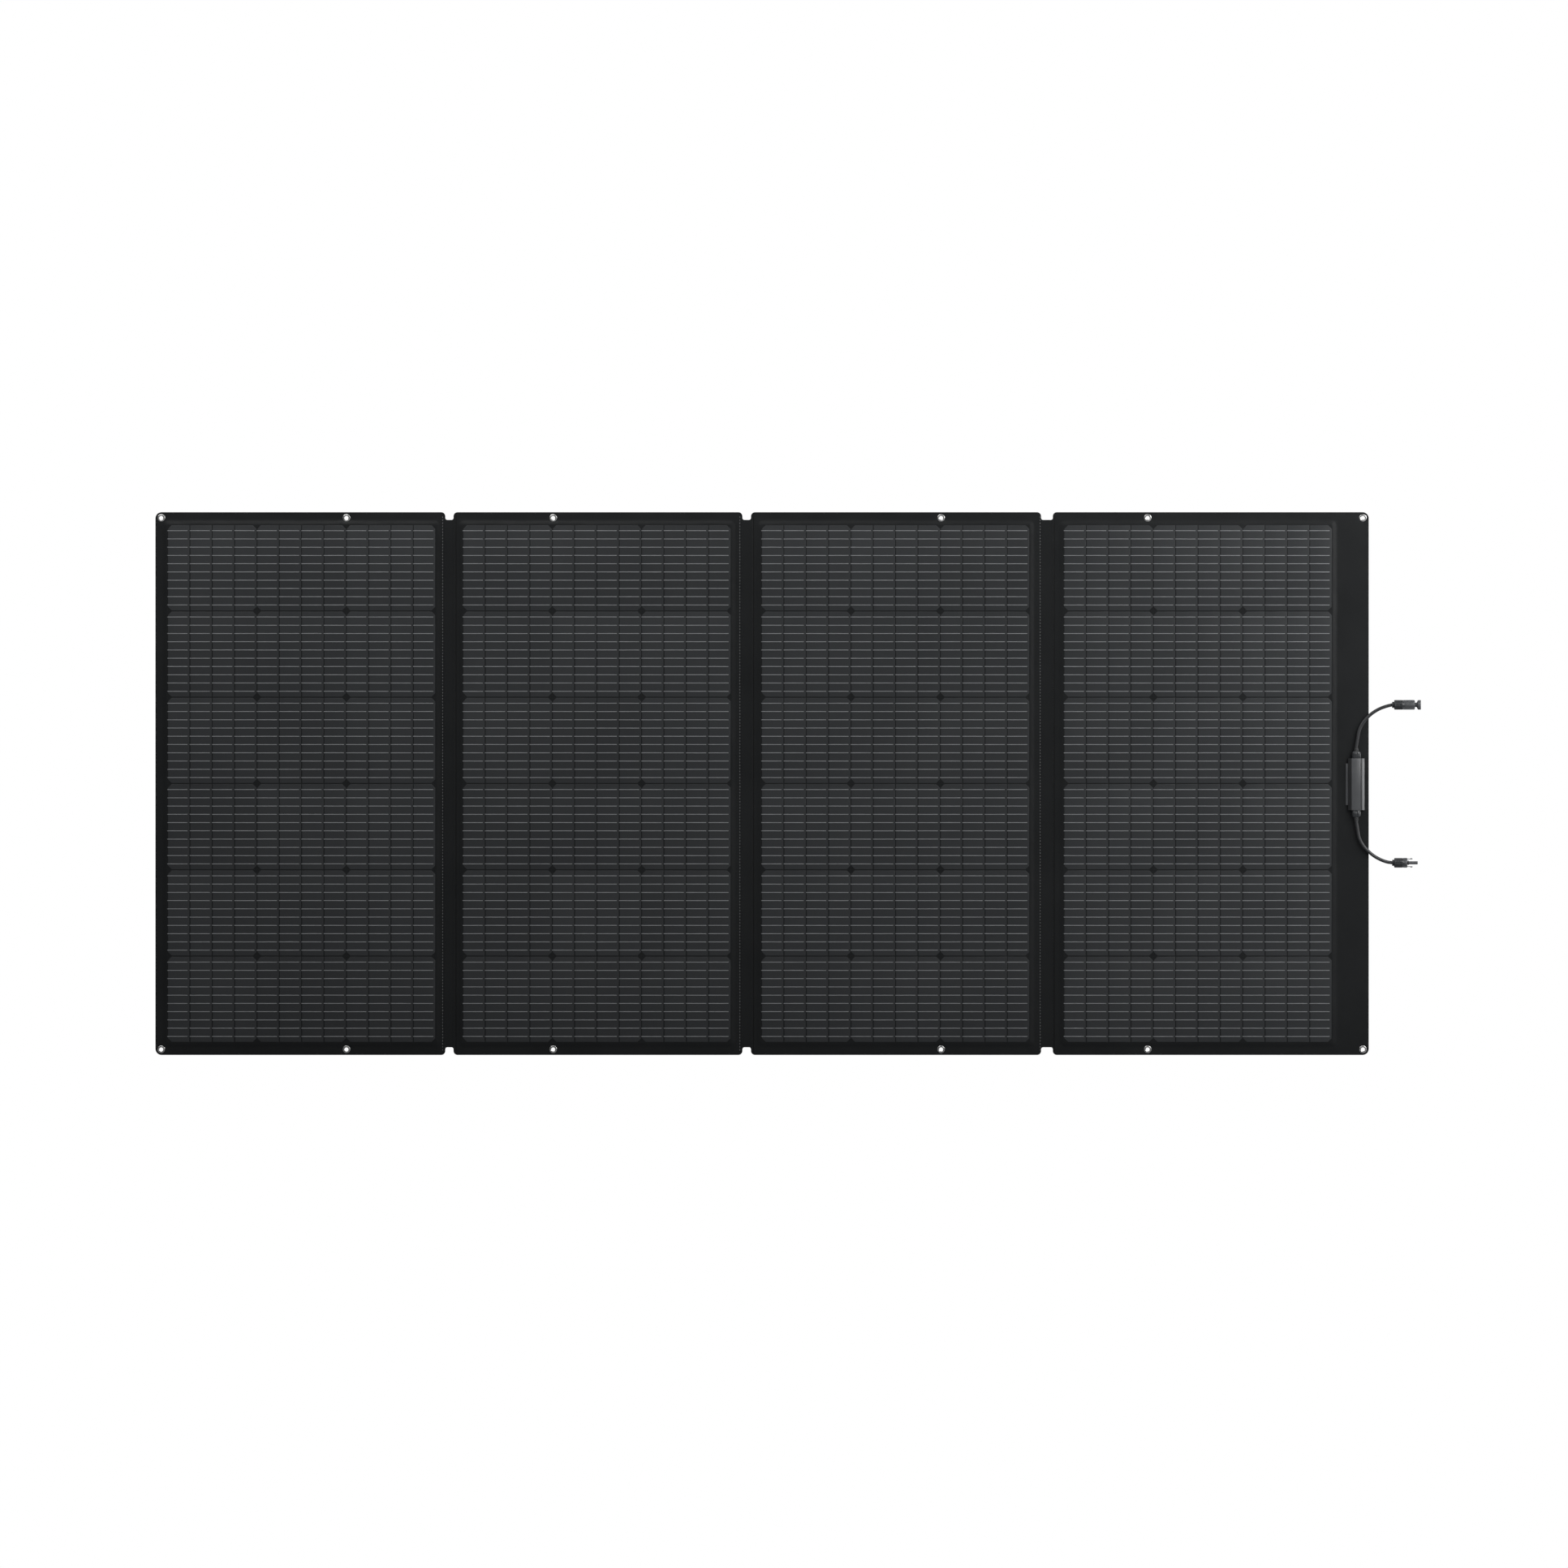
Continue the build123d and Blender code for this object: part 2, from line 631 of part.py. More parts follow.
# lower plug: short barrel with a nose tube and two spring arms with hooks
with BuildPart() as lower_body:
    with BuildSketch(across(BODY_X, "lower")):
        Circle(PLUG_R)
    extrude(amount=LOWER_BARREL_L)
    fillet(lower_body.faces().sort_by(Axis.X)[-1].edges(), LOWER_BARREL_ROUND)
    with BuildSketch(across(SEAT_X, "lower")):
        Circle(SEAT_R)
    extrude(amount=SEAT_L)
    with BuildSketch(across(NOSE_X, "lower")):
        Circle(NOSE_R)
    extrude(amount=NOSE_L)
    for side in (1, -1):
        arm_points = [(x, PLUG_Z["lower"] + side * reach) for x, reach in ARM_OUTLINE]
        with BuildSketch(upright(PLUG_Y + ARM_T / 2)):
            with BuildLine():
                Polyline(*arm_points, close=True)
            make_face()
        extrude(amount=ARM_T)
    with BuildSketch(across(BODY_X, "lower")):
        Circle(LOWER_BORE_R)
    extrude(amount=LOWER_BORE_L, mode=Mode.SUBTRACT)
save(lower_body.part, "lower_plug_body")

# tubular contact inside the nose
with BuildPart() as lower_contact:
    with BuildSketch(across(CONTACT_X, "lower")):
        Circle(SLEEVE_R)
        Circle(SLEEVE_BORE_R, mode=Mode.SUBTRACT)
    extrude(amount=SLEEVE_L)
save(lower_contact.part, "lower_plug_contact")

# seal ring round its seat
with BuildPart() as lower_seal:
    with BuildSketch(across(SEAT_X + PLUG_GAP, "lower")):
        Circle(SEAL_R)
        Circle(SEAL_BORE_R, mode=Mode.SUBTRACT)
    extrude(amount=SEAL_L)
    fillet(
        lower_seal.edges().filter_by(GeomType.CIRCLE).filter_by(lambda e: e.radius > 4),
        SEAL_ROUND,
    )
save(lower_seal.part, "lower_plug_seal")
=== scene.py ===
"""A folding solar sheet of four panels, with a cable box and two leads that end in plugs.

The unfolded sheet stands in the XZ plane, centred on the origin: its width runs along X, its
height along Z, and its front faces -Y. Lengths are millimetres, and MM turns them into metres.
Lights, camera, floor and texture distances are in metres.
"""
import bpy
import bmesh
import math
import numpy as np
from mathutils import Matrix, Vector, noise
from mathutils.geometry import delaunay_2d_cdt


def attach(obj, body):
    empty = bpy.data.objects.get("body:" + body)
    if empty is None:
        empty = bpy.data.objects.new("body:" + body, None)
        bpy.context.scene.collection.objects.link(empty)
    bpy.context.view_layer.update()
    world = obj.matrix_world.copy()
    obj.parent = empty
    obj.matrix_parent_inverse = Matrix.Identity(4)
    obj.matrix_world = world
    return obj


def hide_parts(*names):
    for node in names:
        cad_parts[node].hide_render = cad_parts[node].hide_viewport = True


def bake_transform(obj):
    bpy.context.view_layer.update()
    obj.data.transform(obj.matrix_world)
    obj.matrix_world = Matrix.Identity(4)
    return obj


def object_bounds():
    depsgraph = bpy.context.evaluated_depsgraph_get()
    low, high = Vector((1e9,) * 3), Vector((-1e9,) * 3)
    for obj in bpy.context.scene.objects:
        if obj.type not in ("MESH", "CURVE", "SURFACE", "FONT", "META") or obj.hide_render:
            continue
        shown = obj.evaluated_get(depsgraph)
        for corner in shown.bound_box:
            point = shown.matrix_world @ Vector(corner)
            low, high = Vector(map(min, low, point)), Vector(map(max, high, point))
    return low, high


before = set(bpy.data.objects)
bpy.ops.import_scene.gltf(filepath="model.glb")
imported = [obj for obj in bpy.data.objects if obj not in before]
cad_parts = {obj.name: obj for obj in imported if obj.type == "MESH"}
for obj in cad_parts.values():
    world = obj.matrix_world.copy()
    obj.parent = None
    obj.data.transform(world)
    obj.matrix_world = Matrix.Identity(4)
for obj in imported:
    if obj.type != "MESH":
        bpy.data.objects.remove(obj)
cad_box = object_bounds()
MM = 0.001
FRONT, BACK = -1, 1                     # sign of Y on each face of the sheet
rng = np.random.default_rng(7)

# ------------------------------------------------------------------- sizes
SHEET_W, SHEET_H = 2365.0, 1058.0
HALF_W, HALF_H = SHEET_W / 2, SHEET_H / 2


def from_left(*distances):
    """X of places measured from the sheet's left edge."""
    return [distance - HALF_W for distance in distances]


# left and right edge of each panel
PANELS = [from_left(*edges) for edges in
          ((0.0, 565.1), (581.0, 1144.2), (1160.8, 1726.4), (1749.1, SHEET_W))]
PANEL_COUNT = len(PANELS)
OUTER_CORNER_R, INNER_CORNER_R = 12.0, 8.0   # at the sheet's ends, and beside a fold
EYELETS = [from_left(*row) for row in ((11.3, 372.4), (775.3,), (1531.4,), (1934.1, 2353.7))]
EYELET_Z = HALF_H - 11.0
STITCH_X = from_left(559.9, 1139.2, 1724.6)  # thread line left of each fold
SEAM_X = from_left(585.4, 1165.2, 1751.2)    # crease right of each fold
STITCH_PITCH = 5.9
NOTCH = 15.0                                 # depth of the cut at each end of a fold

CELL_LEFT = from_left(24.7, 600.3, 1182.5, 1771.9)
STRIP_COLUMNS, STRIP_ROWS = 12, 6
WAFER_STRIPS = 4                             # strips cut from one wafer
STRIP_W, STRIP_H, STRIP_PITCH, ROW_PITCH = 41.5, 166.0, 43.55, 168.2
CELLS_W = (STRIP_COLUMNS - 1) * STRIP_PITCH + STRIP_W
CELLS_H = (STRIP_ROWS - 1) * ROW_PITCH + STRIP_H


# ------------------------------------------------------------ mesh helpers
def link_object(name, mesh):
    ob = bpy.data.objects.new(name, mesh)
    bpy.context.scene.collection.objects.link(ob)
    return ob


def new_object(name, verts, faces):
    """A smooth-shaded object from points in millimetres."""
    mesh = bpy.data.meshes.new(name)
    mesh.from_pydata([(x * MM, y * MM, z * MM) for x, y, z in verts], [], faces)
    mesh.validate()
    bm = bmesh.new()
    bm.from_mesh(mesh)
    bmesh.ops.recalc_face_normals(bm, faces=bm.faces)
    bm.to_mesh(mesh)
    bm.free()
    ob = link_object(name, mesh)
    for polygon in mesh.polygons:
        polygon.use_smooth = True
    mesh.update()
    return ob


def sharp_by_angle(ob, degrees):
    """Smooth shading that breaks at real edges, written on the mesh itself."""
    bm = bmesh.new()
    bm.from_mesh(ob.data)
    limit = math.radians(degrees)
    for edge in bm.edges:
        edge.smooth = not (len(edge.link_faces) == 2 and edge.calc_face_angle(0.0) > limit)
    for face in bm.faces:
        face.smooth = True
    bm.to_mesh(ob.data)
    bm.free()


def bevel_edges(ob, offset, segments):
    """Rounds every edge sharper than 25 degrees."""
    bm = bmesh.new()
    bm.from_mesh(ob.data)
    bmesh.ops.remove_doubles(bm, verts=bm.verts, dist=1e-6)
    edges = [edge for edge in bm.edges
             if len(edge.link_faces) == 2 and edge.calc_face_angle(0.0) > math.radians(25)]
    bmesh.ops.bevel(bm, geom=edges, offset=offset * MM, segments=segments, profile=0.5,
                    affect="EDGES", clamp_overlap=True)
    bmesh.ops.recalc_face_normals(bm, faces=bm.faces)
    bm.to_mesh(ob.data)
    bm.free()
    return ob


def store_floats(ob, name, values):
    attribute = ob.data.attributes.new(name, "FLOAT", "POINT")
    attribute.data.foreach_set("value", np.asarray(values, np.float32))


def store_rest(ob):
    """Keeps each point's place in the unfolded sheet, so a pattern stays put on bent cloth."""
    places = np.empty(len(ob.data.vertices) * 3, np.float32)
    attribute = ob.data.attributes.new("rest", "FLOAT_VECTOR", "POINT")
    ob.data.vertices.foreach_get("co", places)
    attribute.data.foreach_set("vector", places)


def side_faces(base, rings, size, loop=False):
    """Quads between successive rings of size points, the first point being number base."""
    faces = []
    for k in range(rings if loop else rings - 1):
        near, far = base + k * size, base + (k + 1) % rings * size
        for i in range(size):
            j = (i + 1) % size
            faces.append((near + i, near + j, far + j, far + i))
    return faces


def end_faces(base, rings, size):
    last = base + (rings - 1) * size
    return [tuple(range(base, base + size)), tuple(range(last + size - 1, last - 1, -1))]


def rings_mesh(name, rings, loop=False):
    """A closed tube through equal rings of points. loop joins the last ring to the first."""
    shape = (0, len(rings), len(rings[0]))
    faces = side_faces(*shape, loop)
    if not loop:
        faces += end_faces(*shape)
    return new_object(name, [point for ring in rings for point in ring], faces)


def prism(name, first, last):
    """A closed bar between two equal outlines."""
    shape = (0, 2, len(first))
    return new_object(name, first + last, end_faces(*shape) + side_faces(*shape))


def lathe(name, profile, centre, axis, segments):
    """A closed ring turned from (radius, distance along the axis) points."""
    cx, cy, cz = centre
    rings = []
    for k in range(segments):
        angle = 2 * math.pi * k / segments
        cosine, sine = math.cos(angle), math.sin(angle)
        if axis == "x":
            ring = [(cx + along, cy + r * cosine, cz + r * sine) for r, along in profile]
        elif axis == "y":
            ring = [(cx + r * cosine, cy + along, cz + r * sine) for r, along in profile]
        else:
            ring = [(cx + r * cosine, cy + r * sine, cz + along) for r, along in profile]
        rings.append(ring)
    return rings_mesh(name, rings, loop=True)


def join(name, parts, slots=None):
    """One object from several; slots gives the material slot of each part."""
    bm = bmesh.new()
    for part, slot in zip(parts, slots or [0] * len(parts)):
        before = len(bm.faces)
        bm.from_mesh(part.data)
        bm.faces.ensure_lookup_table()
        for face in bm.faces[before:]:
            face.material_index = slot
    mesh = bpy.data.meshes.new(name)
    bm.to_mesh(mesh)
    bm.free()
    for part in parts:
        bpy.data.objects.remove(part, do_unlink=True)
    return link_object(name, mesh)


def dress(ob, *materials, sharp=None):
    """Gives an object its materials and, where asked, its sharp edges in degrees."""
    for material in materials:
        ob.data.materials.append(material)
    if sharp:
        sharp_by_angle(ob, sharp)
    return ob


def mount(ob, body, slot, *replaced):
    """Fixes an object to a body, in place of the named CAD pieces."""
    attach(ob, body)
    if replaced:
        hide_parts(*replaced)


def smoothstep(low, high, value):
    t = np.clip((value - low) / (high - low), 0, 1)
    return t * t * (3 - 2 * t)


# ---------------------------------------------------------- shader helpers
def new_material(name):
    material = bpy.data.materials.new(name)
    material.use_nodes = True
    return material, material.node_tree, material.node_tree.nodes["Principled BSDF"]


def feed(tree, target, inputs):
    """Links each socket, or sets each value, on the target's inputs."""
    for key, value in inputs.items():
        if isinstance(value, bpy.types.NodeSocket):
            tree.links.new(value, target.inputs[key])
        else:
            target.inputs[key].default_value = value


def node(tree, kind, inputs=None, **settings):
    made = tree.nodes.new(kind)
    for key, value in settings.items():
        setattr(made, key, value)
    feed(tree, made, inputs or {})
    return made


def calculate(tree, operation, *values):
    return node(tree, "ShaderNodeMath", dict(enumerate(values)), operation=operation).outputs[0]


def mix_float(tree, factor, first, second):
    mixed = node(tree, "ShaderNodeMix", {0: factor, 2: first, 3: second}, data_type="FLOAT")
    return mixed.outputs[0]


def mix_colour(tree, factor, first, second, blend="MIX"):
    first, second = [colour if isinstance(colour, bpy.types.NodeSocket) else (*colour, 1.0)
                     for colour in (first, second)]
    mixed = node(tree, "ShaderNodeMix", {0: factor, 6: first, 7: second},
                 data_type="RGBA", blend_type=blend)
    return mixed.outputs[2]


def modulate(tree, colour, factor, low, high):
    """Multiplies a colour by low to high, as the factor goes from 0 to 1."""
    return mix_colour(tree, 1.0, colour, mix_colour(tree, factor, low, high), "MULTIPLY")


def grey(value):
    return (value,) * 3


def scaled(colour, gain, lift=0.0):
    return tuple(channel * gain + lift for channel in colour)


def remap(tree, value, source, target):
    """Maps the source range onto the target range, clamped."""
    inputs = {0: value, 1: source[0], 2: source[1], 3: target[0], 4: target[1]}
    return node(tree, "ShaderNodeMapRange", inputs).outputs[0]


def vary_roughness(tree, factor, rough, less, more):
    return remap(tree, factor, (0.3, 0.7), (rough - less, rough + more))


def cloudy(tree, vector, scale, detail, roughness=0.5):
    inputs = {"Vector": vector, "Scale": scale, "Detail": detail, "Roughness": roughness}
    return node(tree, "ShaderNodeTexNoise", inputs).outputs["Fac"]


def bump(tree, height, strength, distance, normal=None):
    inputs = {"Strength": strength, "Distance": distance, "Height": height}
    if normal:
        inputs["Normal"] = normal
    return node(tree, "ShaderNodeBump", inputs).outputs[0]


def attribute_node(tree, name):
    return node(tree, "ShaderNodeAttribute", attribute_name=name)


def object_vector(tree):
    return node(tree, "ShaderNodeTexCoord").outputs["Object"]


def across_and_up(tree, vector):
    """The vector's x and z in millimetres."""
    parts = node(tree, "ShaderNodeSeparateXYZ", {0: vector})
    return [calculate(tree, "MULTIPLY", parts.outputs[i], 1 / MM) for i in (0, 2)]


def wave(tree, coordinate, half_period):
    angle = calculate(tree, "MULTIPLY", coordinate, math.pi / half_period)
    return calculate(tree, "SINE", angle)


def emboss_dots(tree, x, z):
    """A staggered field of small pillows, from 0 to 1: the embossed face of the film."""
    product = calculate(tree, "MULTIPLY", wave(tree, x, 1.38), wave(tree, z, 1.05))
    return calculate(tree, "MULTIPLY_ADD", product, 0.5, 0.5)


def plain_weave(tree, x, z):
    """Threads that pass over and under each other."""
    across, up = wave(tree, x, 0.62), wave(tree, z, 0.62)
    over = calculate(tree, "GREATER_THAN", calculate(tree, "MULTIPLY", across, up), 0.0)
    return mix_float(tree, over, calculate(tree, "ABSOLUTE", across),
                     calculate(tree, "ABSOLUTE", up))


# --------------------------------------------------------------- materials
CLOTH_COLOUR = (0.0088, 0.0098, 0.0104)
WEAVE_COLOUR = (0.0190, 0.0200, 0.0212)
CELL_COLOUR = (0.0258, 0.0280, 0.0298)
FINGER_COLOUR = (0.055, 0.057, 0.060)
FINGER_PITCH = 1.55


def cloth_material(name, colour, pattern, rough, coat, relief, rest=False):
    """Patterned cloth, darkened by painted shade along its edges, seams and creases, from a point
    attribute. rest holds the pattern to bent cloth.
    """
    material, tree, shader = new_material(name)
    vector = attribute_node(tree, "rest").outputs["Vector"] if rest else object_vector(tree)
    height = pattern(tree, *across_and_up(tree, vector))
    patches = cloudy(tree, vector, scale=7.0, detail=3.0, roughness=0.55)
    grain = cloudy(tree, vector, scale=260.0, detail=2.0)
    shade = mix_colour(tree, patches, scaled(colour, 0.90), scaled(colour, 1.10))
    # painted shade and highlight of the relief: darker in its hollows, lighter on its raised tops
    shade = modulate(tree, shade, height, low=grey(0.55), high=grey(1.42))
    dust = remap(tree, grain, (0.62, 0.80), (0.0, 0.10))
    shade = mix_colour(tree, dust, shade, scaled(colour, 2.2, lift=0.01))
    # painted shade: darker along the cloth's edges, seams and creases
    painted_shade = attribute_node(tree, "painted_shade").outputs["Fac"]
    shade = mix_colour(tree, painted_shade, shade, scaled(colour, 0.25))
    relief_normal = bump(tree, height, strength=relief, distance=0.00022)
    feed(tree, shader, {
        "Base Color": shade,
        "Roughness": vary_roughness(tree, patches, rough, less=0.05, more=0.06),
        "IOR": 1.40,
        "Specular IOR Level": 0.28,
        "Coat Weight": coat,
        "Coat Roughness": 0.34,
        "Normal": bump(tree, patches, strength=0.25, distance=0.0006, normal=relief_normal),
    })
    return material


def film_material(name, rest=False):
    return cloth_material(name, CLOTH_COLOUR, emboss_dots, rough=0.45, coat=0.05, relief=0.35,
                          rest=rest)


def weave_material(name, rest=False):
    return cloth_material(name, WEAVE_COLOUR, plain_weave, rough=0.72, coat=0.0, relief=0.49,
                          rest=rest)


def cell_material():
    """Dark silicon under the film: fine grid fingers, and each strip a little different."""
    material, tree, shader = new_material("cell_silicon")
    vector = object_vector(tree)
    x, z = across_and_up(tree, vector)
    height = emboss_dots(tree, x, z)
    strip_shade = attribute_node(tree, "shade").outputs["Fac"]
    patches = cloudy(tree, vector, scale=5.0, detail=3.0)
    fingers = remap(tree, wave(tree, x, FINGER_PITCH / 2), (0.80, 1.0), (0.0, 0.22))
    colour = mix_colour(tree, strip_shade, scaled(CELL_COLOUR, 0.88), scaled(CELL_COLOUR, 1.12))
    colour = modulate(tree, colour, patches, low=(0.93, 0.93, 0.94), high=(1.08, 1.07, 1.06))
    # painted shade and highlight of the film's embossed dots over the cells
    colour = modulate(tree, colour, height, low=grey(0.66), high=grey(1.32))
    feed(tree, shader, {
        "Base Color": mix_colour(tree, fingers, colour, FINGER_COLOUR),
        "Roughness": remap(tree, patches, (0.3, 0.7), (0.36, 0.46)),
        "IOR": 1.42,
        "Specular IOR Level": 0.40,
        "Coat Weight": 0.14,
        "Coat Roughness": 0.32,
        "Normal": bump(tree, height, strength=0.30, distance=0.0002),
    })
    return material


def ribbon_material():
    """Tinned ribbon seen through the embossed film."""
    material, tree, shader = new_material("ribbon_tinned")
    vector = object_vector(tree)
    height = emboss_dots(tree, *across_and_up(tree, vector))
    mottle = cloudy(tree, vector, scale=120.0, detail=3.0)
    colour = mix_colour(tree, mottle, (0.235, 0.245, 0.253), (0.330, 0.340, 0.348))
    feed(tree, shader, {
        # painted shade and highlight of the film's embossed dots over the ribbon
        "Base Color": modulate(tree, colour, height, low=grey(0.74), high=grey(1.22)),
        "Roughness": 0.42,
        "Metallic": 0.35,
        "Coat Weight": 0.25,
        "Coat Roughness": 0.32,
        "Normal": bump(tree, height, strength=0.25, distance=0.0002),
    })
    return material


def plastic_material(name, colour, rough, grain=420.0, depth=0.00006, wear=0.35, painted_left_shade=0.0):
    """Grained plastic, paler on worn edges. Faces turned towards -X can get painted shade, darker
    as if lit only from +X.
    """
    material, tree, shader = new_material(name)
    vector = object_vector(tree)
    fine = cloudy(tree, vector, scale=grain, detail=4.0, roughness=0.6)
    mottle = cloudy(tree, vector, scale=60.0, detail=3.0)
    shade = mix_colour(tree, mottle, scaled(colour, 0.86), scaled(colour, 1.14))
    pointiness = node(tree, "ShaderNodeNewGeometry").outputs["Pointiness"]
    edge = remap(tree, pointiness, (0.52, 0.60), (0.0, wear))
    shade = mix_colour(tree, edge, shade, scaled(colour, 2.4, lift=0.02))
    # painted shade on faces turned towards -X, the side away from the light
    if painted_left_shade:
        normal = node(tree, "ShaderNodeTexCoord").outputs["Normal"]
        normal_x = node(tree, "ShaderNodeSeparateXYZ", {0: normal}).outputs[0]
        left_shade_amount = remap(tree, normal_x, (-0.25, -0.60), (0.0, painted_left_shade))
        shade = mix_colour(tree, left_shade_amount, shade, scaled(colour, 0.22))
    feed(tree, shader, {
        "Base Color": shade,
        "Roughness": vary_roughness(tree, mottle, rough, less=0.06, more=0.06),
        "Normal": bump(tree, fine, strength=0.3, distance=depth),
    })
    return material


def metal_material(name, colour, rough, stretch=(1, 1, 1)):
    """Bare metal; stretch scales the texture space of its fine grain along each axis."""
    material, tree, shader = new_material(name)
    vector = object_vector(tree)
    stretched = node(tree, "ShaderNodeMapping", {"Vector": vector, "Scale": stretch}).outputs[0]
    fine = cloudy(tree, stretched, scale=900.0, detail=3.0)
    mottle = cloudy(tree, vector, scale=90.0, detail=2.0)
    feed(tree, shader, {
        "Base Color": mix_colour(tree, mottle, scaled(colour, 0.82), scaled(colour, 1.12)),
        "Metallic": 1.0,
        "Roughness": vary_roughness(tree, fine, rough, less=0.07, more=0.1),
        "Normal": bump(tree, fine, strength=0.2, distance=0.00003),
    })
    return material


mat_skin = film_material("skin_film")
mat_fold = film_material("fold_film", rest=True)
mat_back = weave_material("back_weave")
mat_fold_back = weave_material("fold_back_weave", rest=True)
mat_cell = cell_material()
mat_ribbon = ribbon_material()
mat_thread = plastic_material("thread_grey", (0.15, 0.155, 0.16), rough=0.75,
                              grain=1500.0, depth=0.0001, wear=0.1)
mat_nickel = metal_material("eyelet_nickel", (0.60, 0.60, 0.59), rough=0.30)
# the box plastic carries painted shade on its faces turned towards -X
mat_box = plastic_material("box_plastic", (0.056, 0.058, 0.061), rough=0.34, painted_left_shade=0.7)
# the tab's plastic is a paler copy of the box plastic: painted light that lifts it out of the
# lid's shadow
mat_tab_lit = plastic_material("box_tab_lit", (0.066, 0.069, 0.073), rough=0.38)
mat_gland = plastic_material("gland_plastic", (0.019, 0.021, 0.023), rough=0.36)
mat_rubber = plastic_material("boot_rubber", (0.018, 0.019, 0.020), rough=0.60, grain=700.0)
mat_cable = plastic_material("cable_sheath", (0.022, 0.023, 0.025), rough=0.40,
                             grain=900.0, depth=0.00004)
mat_nut = plastic_material("plug_nut_plastic", (0.018, 0.020, 0.022), rough=0.42)
mat_plug = plastic_material("plug_plastic", (0.066, 0.069, 0.073), rough=0.40)
mat_copper = metal_material("link_copper", (0.72, 0.40, 0.24), rough=0.35, stretch=(1, 1, 12))
mat_tin = metal_material("contact_tin", (0.72, 0.72, 0.70), rough=0.28, stretch=(10, 1, 1))
mat_board = plastic_material("stiffener_board", (0.10, 0.10, 0.095), rough=0.65,
                             grain=300.0, depth=0.0002)
mat_pcb = plastic_material("circuit_board", (0.02, 0.13, 0.06), rough=0.40, grain=500.0)
mat_diode = plastic_material("diode_case", (0.02, 0.02, 0.021), rough=0.45)

# -------------------------------------------------------------- panel plan
LOOP_STEP = 8.0                                     # spacing of points along straight sides
OUTLINE_INSETS = (0.0, 0.12, 0.4, 0.9, 1.7, 3.0)    # loops inside the panel's edge
CELL_OFFSETS = (11.6, 9.8, 8.2, 6.6, 5.0, 3.4, 2.2, 1.0, -0.4)   # loops round the cells
HOLE_R, HOLE_POINTS = 5.0, 24
# radius of each loop round an eyelet, and whether its edges are kept
HOLE_LOOPS = ((HOLE_R, True), (7.35, False), (8.3, True), (9.6, False))
STITCH_OFFSETS = (-1.6, -0.8, 0.0, 0.8, 1.5)        # columns of points about the thread line
SEAM_OFFSETS = (-1.1, -0.6, -0.25, 0.25, 0.7, 1.3, 2.2)          # and about the crease
COLUMN_POINTS = 178
GRID_X, GRID_Z, GRID_MARGIN = 7.0, 9.0, 6.0         # loose points that carry the ripple


def corner_radii(index):
    """Radius of the panel's left and right corners."""
    return (OUTER_CORNER_R if index == 0 else INNER_CORNER_R,
            OUTER_CORNER_R if index == PANEL_COUNT - 1 else INNER_CORNER_R)


def corner_arcs(index):
    """Centre x, centre z, radius and outward signs in x and z of the panel's four corners."""
    left, right = PANELS[index]
    r_left, r_right = corner_radii(index)
    for cx, r, sign_x in ((left + r_left, r_left, -1), (right - r_right, r_right, 1)):
        for sign_z in (-1, 1):
            yield cx, sign_z * (HALF_H - r), r, sign_x, sign_z


def cell_centre(index):
    return CELL_LEFT[index] + CELLS_W / 2


def eyelet_centres(index):
    return [(x, sign * EYELET_Z) for x in EYELETS[index] for sign in (1, -1)]


def rounded_loop(x0, x1, z0, z1, radii, arc):
    """Points round a rectangle. radii: lower left, lower right, upper right, upper left."""
    # corner x and z, start angle, and signs in x and z towards the inside
    corners = ((x0, z0, 180, 1, 1), (x1, z0, 270, -1, 1), (x1, z1, 0, -1, -1), (x0, z1, 90, 1, -1))
    arcs = []
    for (corner_x, corner_z, start, sign_x, sign_z), r in zip(corners, radii):
        cx, cz = corner_x + sign_x * r, corner_z + sign_z * r
        angles = [math.radians(start + 90 * k / arc) for k in range(arc + 1)]
        arcs.append([(cx + r * math.cos(angle), cz + r * math.sin(angle)) for angle in angles])
    points = []
    for i, corner in enumerate(arcs):
        points += corner
        start, end = corner[-1], arcs[(i + 1) % 4][0]
        count = max(1, int(round(math.dist(start, end) / LOOP_STEP)))
        points += [(start[0] + (end[0] - start[0]) * k / count,
                    start[1] + (end[1] - start[1]) * k / count) for k in range(1, count)]
    return points


def seam_columns(index):
    """X of the columns of points along the panel's thread line and crease."""
    left, right = PANELS[index]
    columns = []
    if index < PANEL_COUNT - 1:
        columns += [STITCH_X[index] + offset for offset in STITCH_OFFSETS]
    if index > 0:
        columns += [SEAM_X[index - 1] + offset for offset in SEAM_OFFSETS]
    return [x for x in columns if left + 0.5 < x < right - 0.5]


def border_grid(index):
    """Loose points over the border, clear of the cells and the eyelets."""
    left, right = PANELS[index]
    clear_x, clear_z = CELLS_W / 2 + 12.6, CELLS_H / 2 + 12.6
    end = GRID_MARGIN - 0.1
    points = []
    for x in np.arange(left + GRID_MARGIN, right - end, GRID_X):
        for z in np.arange(-HALF_H + GRID_MARGIN, HALF_H - end, GRID_Z):
            if abs(x - cell_centre(index)) < clear_x and abs(z) < clear_z:
                continue
            if all(math.dist((x, z), hole) >= 11.5 for hole in eyelet_centres(index)):
                points.append((float(x), float(z)))
    return points


def keeps_triangle(index, corners):
    """False for slivers and for triangles in an eyelet or beyond a rounded corner."""
    x, z = corners.mean(0)
    if any(math.hypot(x - hx, z - hz) < HOLE_R - 0.1 for hx, hz in eyelet_centres(index)):
        return False
    (ax, az), (bx, bz), (cx, cz) = corners
    if abs((bx - ax) * (cz - az) - (cx - ax) * (bz - az)) < 1e-7:
        return False
    return not any((x - arc_x) * sign_x > 0 and (z - arc_z) * sign_z > 0
                   and math.hypot(x - arc_x, z - arc_z) > r + 0.02
                   for arc_x, arc_z, r, sign_x, sign_z in corner_arcs(index))


